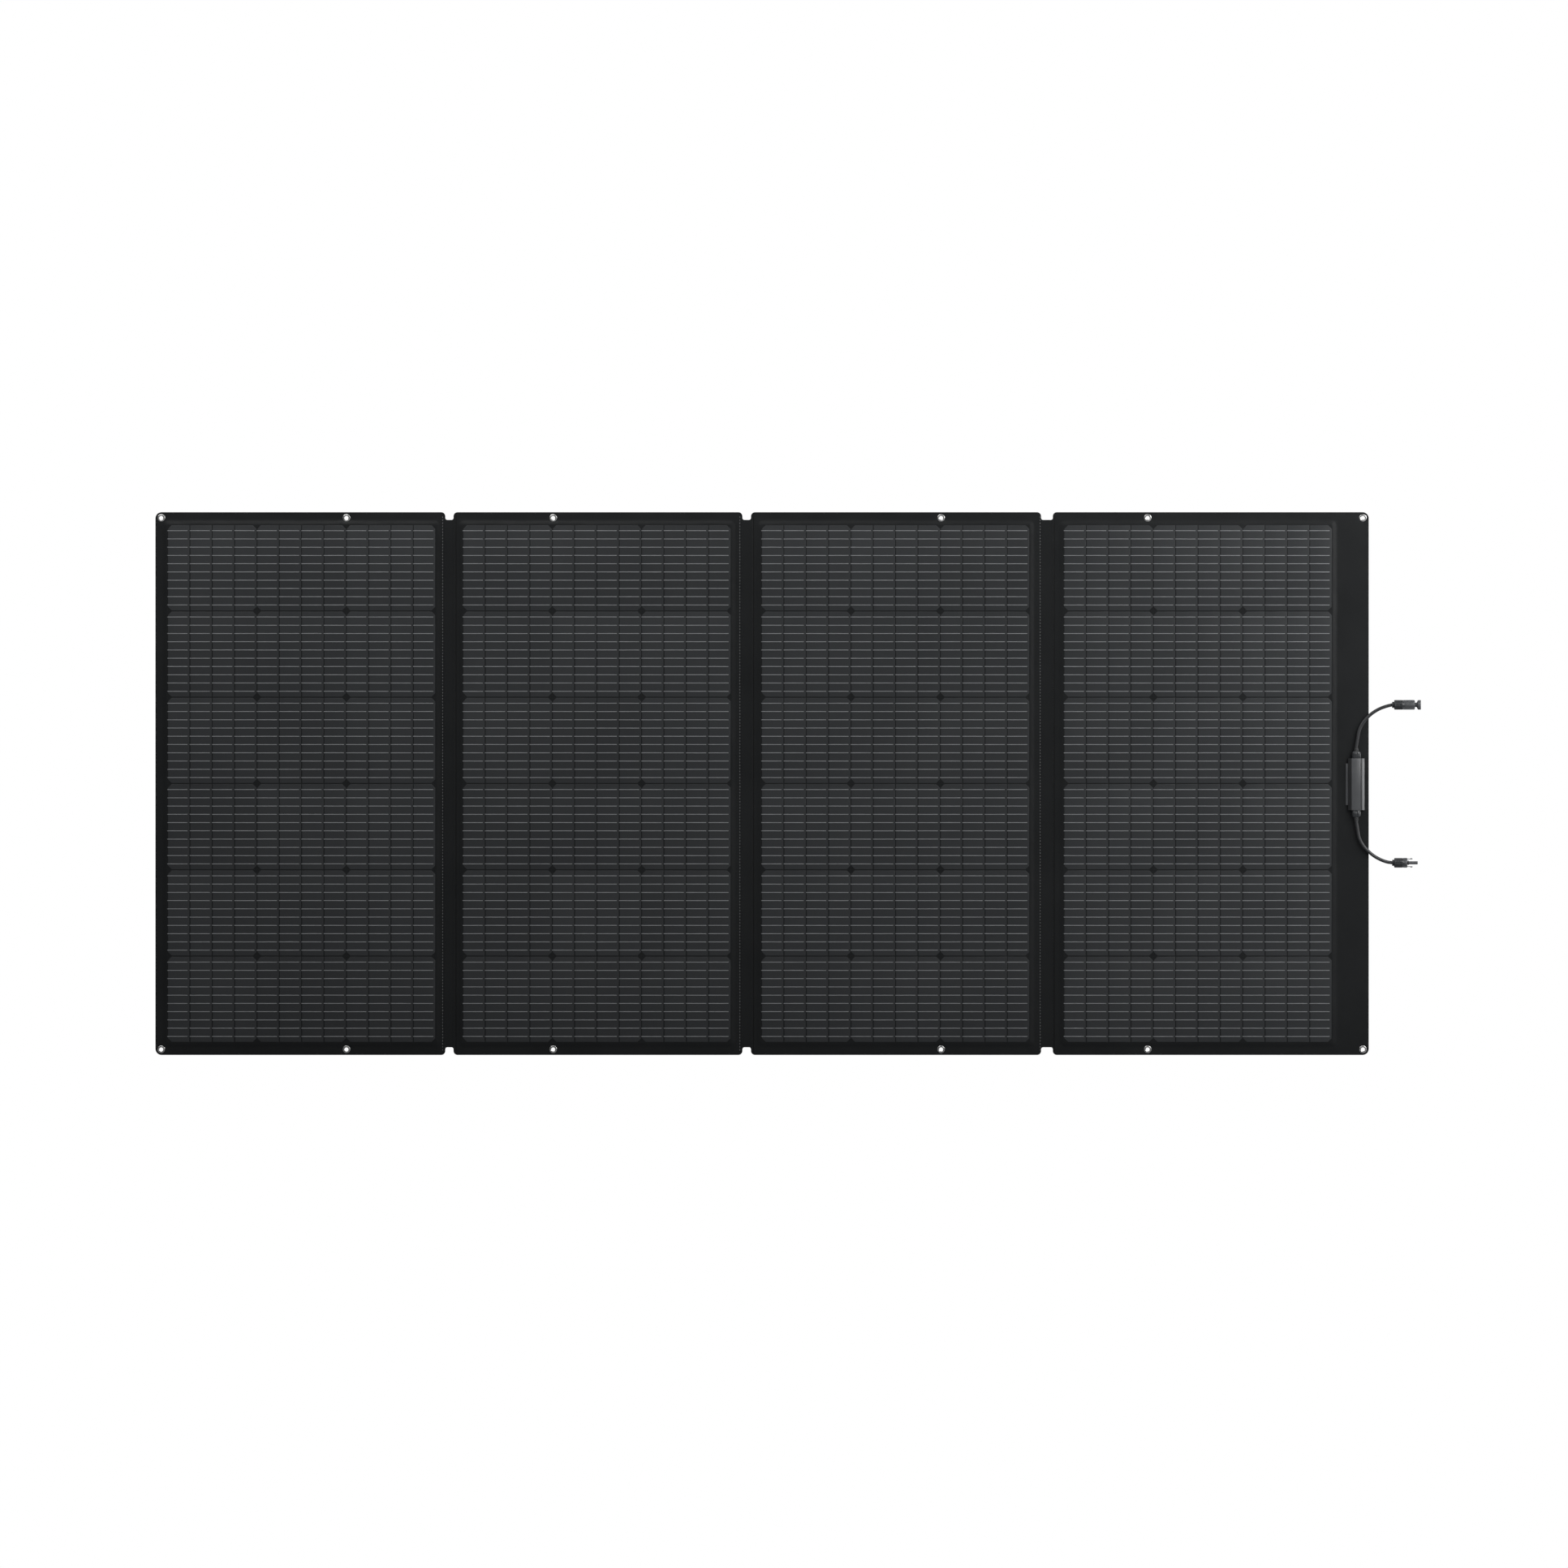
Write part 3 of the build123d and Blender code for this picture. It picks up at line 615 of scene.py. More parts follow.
def panel_plan(index):
    """Points (x, z) and triangles of the panel, with holes for its eyelets."""
    left, right = PANELS[index]
    r_left, r_right = corner_radii(index)
    points, edges = [], []

    def add(path, keep_edges=True, closed=True):
        base, count = len(points), len(path)
        points.extend(path)
        if keep_edges:
            edges.extend((base + i, base + (i + 1) % count)
                         for i in range(count if closed else count - 1))

    for inset in OUTLINE_INSETS:
        radii = [max(0.5, r - inset) for r in (r_left, r_right, r_right, r_left)]
        add(rounded_loop(left + inset, right - inset, -HALF_H + inset, HALF_H - inset, radii, 8))
    centre = cell_centre(index)
    for offset in CELL_OFFSETS:
        half_w, half_h = CELLS_W / 2 + offset + 0.4, CELLS_H / 2 + offset + 0.4
        add(rounded_loop(centre - half_w, centre + half_w, -half_h, half_h, [5.5 + offset] * 4, 6))
    for hx, hz in eyelet_centres(index):
        for r, keep_edges in HOLE_LOOPS:
            angles = [2 * math.pi * i / HOLE_POINTS for i in range(HOLE_POINTS)]
            add([(hx + r * math.cos(angle), hz + r * math.sin(angle)) for angle in angles],
                keep_edges)
    for x in seam_columns(index):
        heights = np.linspace(-HALF_H + 4.5, HALF_H - 4.5, COLUMN_POINTS)
        add([(x, float(z)) for z in heights], closed=False)
    points.extend(border_grid(index))

    result = delaunay_2d_cdt([Vector(point) for point in points], edges, [], 0, 1e-4)
    plan = np.array([(point[0], point[1]) for point in result[0]])
    triangles = [list(face) for face in result[2]]
    return plan, [face for face in triangles if keeps_triangle(index, plan[face])]


# ------------------------------------------------------- panel skins
EDGE_Y, BORDER_Y = 0.04, 0.98      # half thickness at the very edge and over the border
EDGE_ROUND = 0.9                   # width of the rounded edge
# distance from the middle plane of the outer and inner faces, over the cells
SKIN_LEVELS = {FRONT: (2.62, 1.68), BACK: (2.93, 2.24)}


def outline_distance(plan, index):
    """How far inside the rounded outline each point is."""
    x, z = plan.T
    left, right = PANELS[index]
    distance = np.minimum.reduce([x - left, right - x, HALF_H - np.abs(z)])
    for arc_x, arc_z, r, sign_x, sign_z in corner_arcs(index):
        in_corner = ((x - arc_x) * sign_x > 0) & ((z - arc_z) * sign_z > 0)
        distance = np.where(in_corner, r - np.hypot(x - arc_x, z - arc_z), distance)
    return np.maximum(distance, 0.0)


def cell_distance(plan, index):
    """How far outside the cell area each point is, round its corners."""
    dx = np.abs(plan[:, 0] - cell_centre(index)) - CELLS_W / 2
    dz = np.abs(plan[:, 1]) - CELLS_H / 2
    return np.where((dx > 0) & (dz > 0), np.hypot(dx, dz), np.maximum(dx, dz))


def ripple(plan, seed):
    """The small waves of a cloth border, before they are scaled."""
    return np.array([noise.noise((x * 0.018 + seed, z * 0.018, 3.1 * seed))
                     + 0.5 * noise.noise((x * 0.06, z * 0.06 + seed, 1.7)) for x, z in plan])


def skin_surface(plan, index, side):
    """Outer height, inner height and painted shade at each point of a skin."""
    x, z = plan.T
    left, right = PANELS[index]
    has_stitch, has_seam = index < PANEL_COUNT - 1, index > 0
    top, cavity = SKIN_LEVELS[side]
    from_edge, from_cells = outline_distance(plan, index), cell_distance(plan, index)
    from_eyelet = np.min([np.hypot(x - hx, z - hz) for hx, hz in eyelet_centres(index)], axis=0)

    # rounded edge, then a slope up onto the cells
    rim = np.sqrt(np.clip(1 - (1 - np.clip(from_edge / EDGE_ROUND, 0, 1)) ** 2, 0, 1))
    outer = EDGE_Y + (BORDER_Y - EDGE_Y) * rim
    outer = outer + (top - BORDER_Y) * (1 - smoothstep(0.4, 12.0, from_cells))

    # the ripple fades out towards edges, cells, folds and eyelets
    ripple_fade = smoothstep(0.5, 4.0, from_edge) * smoothstep(0.6, 5.0, from_cells)
    if has_stitch:
        ripple_fade = ripple_fade * smoothstep(6.0, 13.0, right - x)
    if has_seam:
        ripple_fade = ripple_fade * smoothstep(6.0, 13.0, x - left)
    ripple_fade = ripple_fade * smoothstep(8.0, 16.0, from_eyelet)
    seed = 1.3 * index + (5.0 if side == BACK else 0.0)
    outer = outer + 0.32 * ripple(plan, seed) * ripple_fade

    # the cloth is drawn in a little round each eyelet and along its seams
    outer = outer - 0.16 * np.exp(-((from_eyelet - 8.6) / 1.0) ** 2)
    # painted shade: darkest at the cloth's very edge, also in the stitch groove and the crease of
    # a seam
    painted_shade = 0.85 * (1 - smoothstep(0.3, 1.5, from_edge))
    if has_stitch:
        groove = np.exp(-((x - STITCH_X[index]) / 1.1) ** 2)
        pucker = 0.5 + 0.5 * np.cos(2 * np.pi * z / STITCH_PITCH)
        outer = outer - (0.16 + 0.10 * pucker) * groove * smoothstep(0.6, 2.0, from_edge)
        if side == FRONT:
            painted_shade = np.maximum(painted_shade, 0.25 * groove)
    if has_seam:
        from_seam = x - SEAM_X[index - 1]
        groove = np.exp(-(from_seam / 1.0) ** 2)
        outer = outer - 0.42 * groove * smoothstep(0.6, 2.0, from_edge)
        painted_shade = np.maximum(painted_shade, np.exp(-(from_seam / 1.25) ** 4))

    inner = 0.001 + cavity * (1 - smoothstep(3.3, 7.0, from_cells))
    return outer, np.minimum(inner, outer - 0.02), painted_shade


def skin(index, side, plan, triangles):
    """The front or back skin of a panel, as one closed sheet."""
    outer, inner, painted_shade = skin_surface(plan, index, side)
    count = len(plan)
    verts = [(x, side * y, z) for layer in (outer, inner) for (x, z), y in zip(plan, layer)]
    faces = [tuple(t) for t in triangles]
    faces += [(c + count, b + count, a + count) for a, b, c in triangles]
    # walls along every edge that only one triangle uses
    directed = dict.fromkeys(edge for a, b, c in triangles for edge in ((a, b), (b, c), (c, a)))
    faces += [(b, a, a + count, b + count) for a, b in directed if (b, a) not in directed]
    # drop points no face uses
    used = sorted({i for face in faces for i in face})
    place = {old: new for new, old in enumerate(used)}
    name = f"panel_{index + 1}_{'front_skin' if side == FRONT else 'back_skin'}"
    ob = new_object(name, [verts[i] for i in used],
                    [tuple(place[i] for i in face) for face in faces])
    store_floats(ob, "painted_shade", np.concatenate([painted_shade, painted_shade])[used])
    store_rest(ob)
    return dress(ob, mat_skin if side == FRONT else mat_back, sharp=60)


# ----------------------------------------------------- cells and ribbons
WAFER_CUT = 7.0                    # cut corner of a wafer
# inset and y of each level of a strip, from its back to its front face
STRIP_LEVELS = [(0.0, -2.55), (0.0, -2.72), (0.18, -2.83), (0.55, -2.88)]

RIBBONS_PER_ROW, RIBBON_PITCH = 10, 16.1
RIBBON_LENGTH, RIBBON_HALF_W = 38.4, 0.70
RIBBON_OVERLAP = 0.6               # how far a ribbon starts left of its strip
# y offset and z in half widths, round a ribbon's cross-section
RIBBON_SECTION = ((0.07, -1.0), (0.0, -0.62), (-0.012, 0.0), (0.0, 0.62), (0.07, 1.0), (0.10, 0.0))


def strip_outline(x0, x1, z0, z1, cut, wafer_place):
    """Outline of a strip; the first and last of a wafer have cut outer corners."""
    if wafer_place == 0:
        return [(x0 + cut, z0), (x1, z0), (x1, z1), (x0 + cut, z1), (x0, z1 - cut), (x0, z0 + cut)]
    if wafer_place == WAFER_STRIPS - 1:
        return [(x0, z0), (x1 - cut, z0), (x1, z0 + cut), (x1, z1 - cut), (x1 - cut, z1), (x0, z1)]
    return [(x0, z0), (x1, z0), (x1, z1), (x0, z1)]


def cell_strips(index):
    """Seventy-two strips, each a low pillow with eased edges and cut wafer corners."""
    verts, faces, shades = [], [], []
    for row in range(STRIP_ROWS):
        row_z = (row - 2.5) * ROW_PITCH
        rng.uniform(0.25, 0.75)    # one unused draw per row, which later draws follow
        for column in range(STRIP_COLUMNS):
            wafer_place = column % WAFER_STRIPS
            if wafer_place == 0:
                wafer_shade = rng.uniform(0.2, 0.8)
            shade = float(np.clip(wafer_shade + rng.uniform(-0.12, 0.12), 0, 1))
            x0 = CELL_LEFT[index] + column * STRIP_PITCH
            x1 = x0 + STRIP_W
            z0, z1 = row_z - STRIP_H / 2, row_z + STRIP_H / 2
            base = len(verts)
            for inset, y in STRIP_LEVELS:
                outline = strip_outline(x0 + inset, x1 - inset, z0 + inset, z1 - inset,
                                        WAFER_CUT - 0.4 * inset, wafer_place)
                verts += [(x, y, z) for x, z in outline]
                shades += [shade] * len(outline)
            size, levels = len(outline), len(STRIP_LEVELS)
            faces += side_faces(base, levels, size)
            faces.append(tuple(base + (levels - 1) * size + j for j in range(size)))
            faces.append(tuple(base + size - 1 - j for j in range(size)))
    ob = new_object(f"panel_{index + 1}_cell_strips", verts, faces)
    store_floats(ob, "shade", shades)
    return dress(ob, mat_cell, sharp=60)


def ribbon_lines(index):
    """The silver lines: on each strip flat ribbons that dive at their left ends."""
    verts, faces = [], []
    size = len(RIBBON_SECTION)
    for row in range(STRIP_ROWS):
        for k in range(RIBBONS_PER_ROW):
            line_z = (row - 2.5) * ROW_PITCH + (k - 4.5) * RIBBON_PITCH
            for column in range(STRIP_COLUMNS):
                x0 = CELL_LEFT[index] + column * STRIP_PITCH - RIBBON_OVERLAP
                x1 = x0 + RIBBON_LENGTH
                z = line_z + float(rng.normal(0, 0.05))
                # x and y along the ribbon
                stations = [(x0 - 0.9, -2.70), (x0 - 0.2, -2.86), (x0 + 0.9, -2.935),
                            ((x0 + x1) / 2, -2.945), (x1 - 0.8, -2.935), (x1, -2.89)]
                base = len(verts)
                verts += [(x, y + dy, z + across * RIBBON_HALF_W)
                          for x, y in stations for dy, across in RIBBON_SECTION]
                faces += side_faces(base, len(stations), size)
                faces += end_faces(base, len(stations), size)
    return dress(new_object(f"panel_{index + 1}_ribbon_lines", verts, faces), mat_ribbon)


# ------------------------------------------------------- eyelets and panels
# radius and y, from the front (-y) rim of the ring through to its rolled back
EYELET_PROFILE = [
    (7.35, -1.05), (7.38, -1.22), (7.15, -1.48), (6.6, -1.70), (5.9, -1.80), (5.2, -1.80),
    (4.55, -1.68), (4.1, -1.42), (3.85, -1.0), (3.75, -0.5), (3.75, 0.6), (3.82, 1.15),
    (4.05, 1.52), (4.5, 1.76), (5.0, 1.84), (5.35, 1.78), (5.4, 1.68), (4.75, 1.66),
    (4.42, 1.45), (4.36, 1.0), (4.36, -1.0), (4.5, -1.06),
]
WASHER_PROFILE = [
    (4.6, 1.06), (7.25, 1.05), (7.36, 1.2), (7.2, 1.42), (6.7, 1.58), (6.0, 1.63),
    (4.75, 1.63), (4.6, 1.5),
]


def eyelet_parts(name, index, profile):
    parts = [lathe("tmp", profile, (x, 0.0, z), "y", 40) for x, z in eyelet_centres(index)]
    return dress(join(name, parts), mat_nickel, sharp=70)


def build_panel(index):
    body = f"panel_{index + 1}"
    plan, triangles = panel_plan(index)
    mount(skin(index, FRONT, plan, triangles), body, "black_cloth",
          f"{body}_border", f"{body}_front_film", f"{body}_encapsulant")
    mount(skin(index, BACK, plan, triangles), body, "black_cloth", f"{body}_back_cloth")
    mount(cell_strips(index), body, "silicon_cell", f"{body}_cells")
    mount(ribbon_lines(index), body, "tinned_ribbon", f"{body}_ribbons")
    mount(eyelet_parts(f"{body}_eyelet_rings", index, EYELET_PROFILE),
          body, "nickel_plate", f"{body}_eyelets")
    mount(eyelet_parts(f"{body}_eyelet_backs", index, WASHER_PROFILE),
          body, "nickel_plate", f"{body}_eyelet_washers")


for index in range(PANEL_COUNT):
    build_panel(index)

# ------------------------------------------------------------------- folds
LINK_Z, LINK_HALF_W = 430.0, 5.0   # copper links, above and below the middle
NOTCH_FILLET = 4.0
FOLD_ROWS = 150
ROW_EDGE, COLUMN_EDGE = 0.15, 0.25  # width of the eased rim at the ends and at the sides
# steps of the columns into the fold from each panel's edge
WALL_STEPS = (0.15, 0.5, 1.0, 1.6, 2.2, 2.8, 3.4, NOTCH_FILLET)


def fold_walls(index):
    """X of the two panel edges that face each other across a fold."""
    return PANELS[index][1], PANELS[index + 1][0]


def fold_end(x, wall_left, wall_right):
    """How high the fold's cloth reaches at x: in the notch and beside the panels' corners."""
    r = INNER_CORNER_R
    inside = min(x - wall_left, wall_right - x)
    if inside <= 0:
        past_arc = max(0.0, r + inside)
        return HALF_H - r + math.sqrt(max(0.0, r * r - past_arc ** 2)) - 1.0
    floor = HALF_H - NOTCH
    if inside < NOTCH_FILLET:
        rise = max(0.0, NOTCH_FILLET ** 2 - (NOTCH_FILLET - inside) ** 2)
        return floor + NOTCH_FILLET - math.sqrt(rise)
    return floor


def fold_columns(left, right, wall_left, wall_right):
    """X of the columns of points, closest together at the panel edges."""
    columns = [left, left + COLUMN_EDGE, right - COLUMN_EDGE, right]
    if wall_left - left > 1.2:
        columns += list(np.linspace(left + 0.8, wall_left - 0.35, 3))
    if right - wall_right > 1.2:
        columns += list(np.linspace(wall_right + 0.35, right - 0.8, 3))
    for wall, inward in ((wall_left, 1), (wall_right, -1)):
        columns += [wall + inward * step for step in (-0.02, 0.02, *WALL_STEPS)]
    middle = max(6, int((wall_right - wall_left - 2 * NOTCH_FILLET) / 0.65))
    columns += list(np.linspace(wall_left + NOTCH_FILLET, wall_right - NOTCH_FILLET,
                                middle + 2))[1:-1]
    return sorted(set(round(float(x), 4) for x in columns))


def fold_heights(end):
    """Z of the points up a column, a little closer together towards its ends."""
    rows = np.linspace(-1, 1, FOLD_ROWS)
    rows = np.sign(rows) * (1 - (1 - np.abs(rows)) ** 1.08)
    return [-end, -end + ROW_EDGE, *[row * (end - 0.9) for row in rows], end - ROW_EDGE, end]


def fold_levels(index, side, x, z):
    """Outer and inner height of the fold's cloth."""
    wall_left, wall_right = fold_walls(index)
    if x < wall_left or x > wall_right:
        from_wall = min(abs(x - wall_left), abs(x - wall_right))
        return 1.16, 0.80 if from_wall > 0.3 else 0.35
    middle, half = (wall_left + wall_right) / 2, (wall_right - wall_left) / 2
    sag = 0.10 * (1 - min(1.0, abs((x - middle) / half)) ** 2)
    unevenness = noise.noise((x * 0.05 + 9 * index, z * 0.012, side * 2.0))
    link_pocket = math.exp(-((abs(z) - LINK_Z) / 7.0) ** 4)
    return 0.93 - sag + 0.14 * unevenness, 0.004 + 0.24 * link_pocket


def fold_sheet(index, side):
    """The front or back cloth of a fold, as a thin closed sheet that laps onto both panels."""
    wall_left, wall_right = fold_walls(index)
    left, right = min(STITCH_X[index] + 1.3, wall_left - 0.6), SEAM_X[index] - 0.35
    columns = fold_columns(left, right, wall_left, wall_right)
    verts, painted_shade = [], []
    for is_outer in (True, False):
        for x in columns:
            end = fold_end(x, wall_left, wall_right)
            for z in fold_heights(end):
                outer, inner = fold_levels(index, side, x, z)
                row_ease = min(1.0, (end - abs(z)) / ROW_EDGE)
                column_ease = min(1.0, (x - left) / COLUMN_EDGE, (right - x) / COLUMN_EDGE)
                ease = max(0.0, min(row_ease, column_ease))
                y = inner
                if is_outer:
                    y = inner + (outer - inner) * (0.45 + 0.55 * math.sqrt(ease))
                    if x < wall_left:    # drawn in by the stitches
                        y -= 0.05 * (0.5 + 0.5 * math.cos(2 * math.pi * z / STITCH_PITCH))
                verts.append((x, side * y, z))
                # painted shade at the ends of the fold's cloth and along both its lapped edges
                if row_ease < 1.0:
                    painted_shade.append(0.7)
                elif right - x < 0.3:
                    painted_shade.append(0.55)
                else:
                    painted_shade.append(0.25 if x - left < 0.3 else 0.0)
    faces = fold_faces(len(columns), FOLD_ROWS + 4)
    name = f"fold_{index + 1}_{'front_cloth' if side == FRONT else 'back_cloth'}"
    ob = new_object(name, verts, faces)
    store_floats(ob, "painted_shade", painted_shade)
    store_rest(ob)
    return dress(ob, mat_fold if side == FRONT else mat_fold_back, sharp=60)


def fold_faces(columns, rows):
    """Faces of two grids of points, one over the other, closed round the rim."""
    def at(layer, column, row):
        return (layer * columns + column) * rows + row

    faces = []
    top, last = rows - 1, columns - 1
    for c in range(last):
        for r in range(top):
            faces.append((at(0, c, r), at(0, c + 1, r), at(0, c + 1, r + 1), at(0, c, r + 1)))
            faces.append((at(1, c, r + 1), at(1, c + 1, r + 1), at(1, c + 1, r), at(1, c, r)))
        faces.append((at(0, c, 0), at(1, c, 0), at(1, c + 1, 0), at(0, c + 1, 0)))
        faces.append((at(0, c + 1, top), at(1, c + 1, top), at(1, c, top), at(0, c, top)))
    for r in range(top):
        faces.append((at(0, 0, r + 1), at(1, 0, r + 1), at(1, 0, r), at(0, 0, r)))
        faces.append((at(0, last, r), at(1, last, r), at(1, last, r + 1), at(0, last, r + 1)))
    return faces


def stitches(index, side):
    """A row of lock stitches: each one a short thread that sinks at both ends."""
    length, radius = 3.5, 0.46
    points, stations = 8, 9
    count = int((SHEET_H - 12.0) / STITCH_PITCH)
    verts, faces = [], []
    for k in range(count):
        middle_z = (k - (count - 1) / 2) * STITCH_PITCH
        stitch_x = STITCH_X[index] + float(rng.normal(0, 0.06))
        lean = float(rng.normal(0, 0.05))
        base = len(verts)
        for station in range(stations):
            along = 2 * (station / (stations - 1)) - 1    # -1 to 1
            taper = abs(along) ** 3
            r = radius * (1 - 0.55 * taper)
            for point in range(points):
                angle = 2 * math.pi * point / points
                verts.append((stitch_x + lean * along + r * 1.15 * math.cos(angle),
                              side * (0.98 - 0.62 * taper + r * 0.8 * math.sin(angle)),
                              middle_z + along * length / 2))
        faces += side_faces(base, stations, points) + end_faces(base, stations, points)
    name = f"fold_{index + 1}_{'front' if side == FRONT else 'back'}_stitches"
    return dress(new_object(name, verts, faces), mat_thread)


def link_strips(index):
    """The flat copper links inside a fold, with enough points along them to bend."""
    wall_left, wall_right = fold_walls(index)
    # y offset and z in half widths, round the cross-section
    section = ((-0.13, -1), (-0.15, 0), (-0.13, 1), (0.13, 1), (0.15, 0), (0.13, -1))
    bars = []
    for link_z in (LINK_Z, -LINK_Z):
        rings = []
        for x in np.linspace(wall_left + 0.2, wall_right - 0.2, 26):
            y = 0.04 * math.sin((x - wall_left) * 2.2)
            rings.append([(x, y + dy, link_z + across * LINK_HALF_W) for dy, across in section])
        bars.append(rings_mesh("tmp", rings))
    return dress(join(f"fold_{index + 1}_link_strips", bars), mat_copper)


def blend_across_fold(ob):
    """Bakes the object's transform into its mesh."""
    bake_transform(ob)


def build_fold(index):
    fold = f"fold_{index + 1}"
    for side in (FRONT, BACK):
        sheet = fold_sheet(index, side)
        blend_across_fold(sheet)
        if side == FRONT:
            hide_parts(f"{fold}_cloth")
        mount(stitches(index, side), f"panel_{index + 1}", "black_cloth")
    links = link_strips(index)
    blend_across_fold(links)
    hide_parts(f"{fold}_links")


for index in range(PANEL_COUNT - 1):
    build_fold(index)

# --------------------------------------------------------------- cable box
# The box is on the front of panel 4, at its right edge, with a gland at each end.
BOX_X, BOX_Z, BOX_LENGTH = 1158.2, -1.4, 100.6
BOX_LEFT, BOX_RIGHT = BOX_X - 16.0, BOX_X + 15.9
BOX_ENDS = {1: BOX_Z + BOX_LENGTH / 2, -1: BOX_Z - BOX_LENGTH / 2}
SEAT_Y, SPLIT_Y, TOP_Y = -1.10, -4.5, -14.9    # back of the tray, tray to lid, front of the lid
TAB_HALF_L = 40.5
ENDS = (("upper", 1), ("lower", -1))           # lead names and signs of Z

# x and y round the cross-sections of the tray, the tab on its left, and the lid
TRAY_OUTLINE = [(BOX_LEFT, SEAT_Y), (BOX_RIGHT, SEAT_Y),
                (BOX_RIGHT, SPLIT_Y + 0.06), (BOX_LEFT, SPLIT_Y + 0.06)]
TAB_OUTLINE = [(BOX_LEFT - 4.7, SEAT_Y), (BOX_LEFT + 0.5, SEAT_Y),
               (BOX_LEFT + 0.5, SPLIT_Y + 0.1), (BOX_LEFT - 1.8, SPLIT_Y + 0.3),
               (BOX_LEFT - 3.6, SEAT_Y - 2.6), (BOX_LEFT - 4.7, SEAT_Y - 1.2)]
LID_OUTLINE = [(BOX_LEFT, SPLIT_Y - 0.1), (BOX_RIGHT, SPLIT_Y - 0.1),
               (BOX_RIGHT, SPLIT_Y - 2.3), (BOX_X + 10.6, TOP_Y + 1.15),
               (BOX_X + 10.3, TOP_Y + 0.95), (BOX_X + 9.9, TOP_Y + 1.9),
               (BOX_X + 8.5, TOP_Y + 1.9), (BOX_X + 8.2, TOP_Y + 0.2),
               (BOX_X + 7.7, TOP_Y), (BOX_X - 8.6, TOP_Y),
               (BOX_X - 9.2, TOP_Y + 0.2), (BOX_LEFT, SPLIT_Y - 2.9)]


def prism_z(name, outline, z0, z1):
    return prism(name, [(x, y, z0) for x, y in outline], [(x, y, z1) for x, y in outline])


def lid_end(sign):
    """Z of the lid's end wall, just beyond the tray's."""
    return BOX_ENDS[sign] + sign * 0.1


def build_box():
    tray = bevel_edges(prism_z("tmp", TRAY_OUTLINE, BOX_ENDS[-1], BOX_ENDS[1]), 0.35, 2)
    tab = bevel_edges(prism_z("tmp", TAB_OUTLINE, BOX_Z - TAB_HALF_L, BOX_Z + TAB_HALF_L), 0.45, 3)
    base = join("cable_box_tray", [tray, tab], slots=[0, 1])
    # the tab gets the paler plastic, painted light against the lid's shadow
    mount(dress(base, mat_box, mat_tab_lit, sharp=40), "panel_4", "box_plastic", "cable_box_base")
    lid = bevel_edges(prism_z("cable_box_lid", LID_OUTLINE, lid_end(-1), lid_end(1)), 0.35, 3)
    mount(dress(lid, mat_box, sharp=40), "panel_4", "box_plastic", "cable_box_cover")


build_box()

# ------------------------------------------------------------------ glands
CABLE_Y = -8.0                     # middle of the glands
GLAND_HALF_X, GLAND_HALF_Y = 8.7, 6.3
GLAND_POWER = 3.2                  # squareness of the cap: 2 would be an ellipse
# distance from the lid's end, and scale of the outline
GLAND_STATIONS = [
    (0.0, 0.93), (0.5, 1.0), (1.6, 1.0), (1.9, 0.93), (2.3, 0.93), (2.6, 1.0), (9.5, 0.97),
    (11.5, 0.93), (13.2, 0.82), (14.0, 0.70), (14.3, 0.60),
]
BOOT_START, BOOT_LENGTH = 13.6, 7.4


def boot_base(sign):
    return lid_end(sign) + sign * BOOT_START


def gland_cap(name, sign):
    """A rounded-square cap with fourteen grip flutes."""
    rings = []
    for along, scale in GLAND_STATIONS:
        grip = 0.055 if 2.4 < along < 12.0 else 0.0
        ring = []
        for k in range(96):
            angle = 2 * math.pi * k / 96
            cosine, sine = math.cos(angle), math.sin(angle)
            r = (abs(cosine / GLAND_HALF_X) ** GLAND_POWER
                 + abs(sine / GLAND_HALF_Y) ** GLAND_POWER) ** (-1 / GLAND_POWER)
            r *= scale * (1 - grip * (0.5 + 0.5 * math.cos(14 * angle)) ** 3)
            ring.append((BOX_X + r * cosine, CABLE_Y + r * sine, lid_end(sign) + sign * along))
        rings.append(ring)
    return dress(rings_mesh(f"{name}_gland_cap", rings), mat_gland, sharp=50)


def strain_boot(name, sign):
    """A tapering rubber sleeve with three shallow waists."""
    profile = []
    for k in range(25):
        t = k / 24
        waist = 0.36 * (0.5 - 0.5 * math.cos(2 * math.pi * 3 * t))
        profile.append((4.85 - 0.75 * t ** 1.5 - waist, sign * (t * BOOT_LENGTH)))
    profile += [(3.32, sign * (BOOT_LENGTH - 0.1)), (3.32, sign * 0.1)]
    boot = lathe(f"{name}_strain_boot", profile, (BOX_X, CABLE_Y, boot_base(sign)), "z", 40)
    return dress(boot, mat_rubber, sharp=60)


for name, sign in ENDS:
    mount(gland_cap(name, sign), "panel_4", "box_plastic", f"{name}_gland_nut")
    mount(strain_boot(name, sign), "panel_4", "black_rubber", f"{name}_gland_boot")

# ------------------------------------------------------------------ cables
PLUG_Y = -5.95
PLUG_Z = {"upper": 153.5, "lower": -154.4}
CABLE_R = 3.22
# x, y, z of the upper cable, z of the lower cable, from the box to the plug
CABLE_PATH = [
    (BOX_X, CABLE_Y, 66.0, -69.0),
    (BOX_X, CABLE_Y, 72.5, -75.0),
    (1160.6, -7.9, 86.3, -88.6),
    (1163.9, -7.7, 103.7, -105.9),
    (1171.3, -7.4, 118.5, -120.2),
    (1180.1, -7.1, 129.1, -130.4),
    (1191.2, -6.8, 138.6, -140.0),
    (1203.9, -6.4, 145.9, -147.4),
    (1216.5, -6.1, 150.6, -152.3),
    (1227.2, PLUG_Y, 153.2, -154.1),
    (1232.5, PLUG_Y, PLUG_Z["upper"], PLUG_Z["lower"]),
]


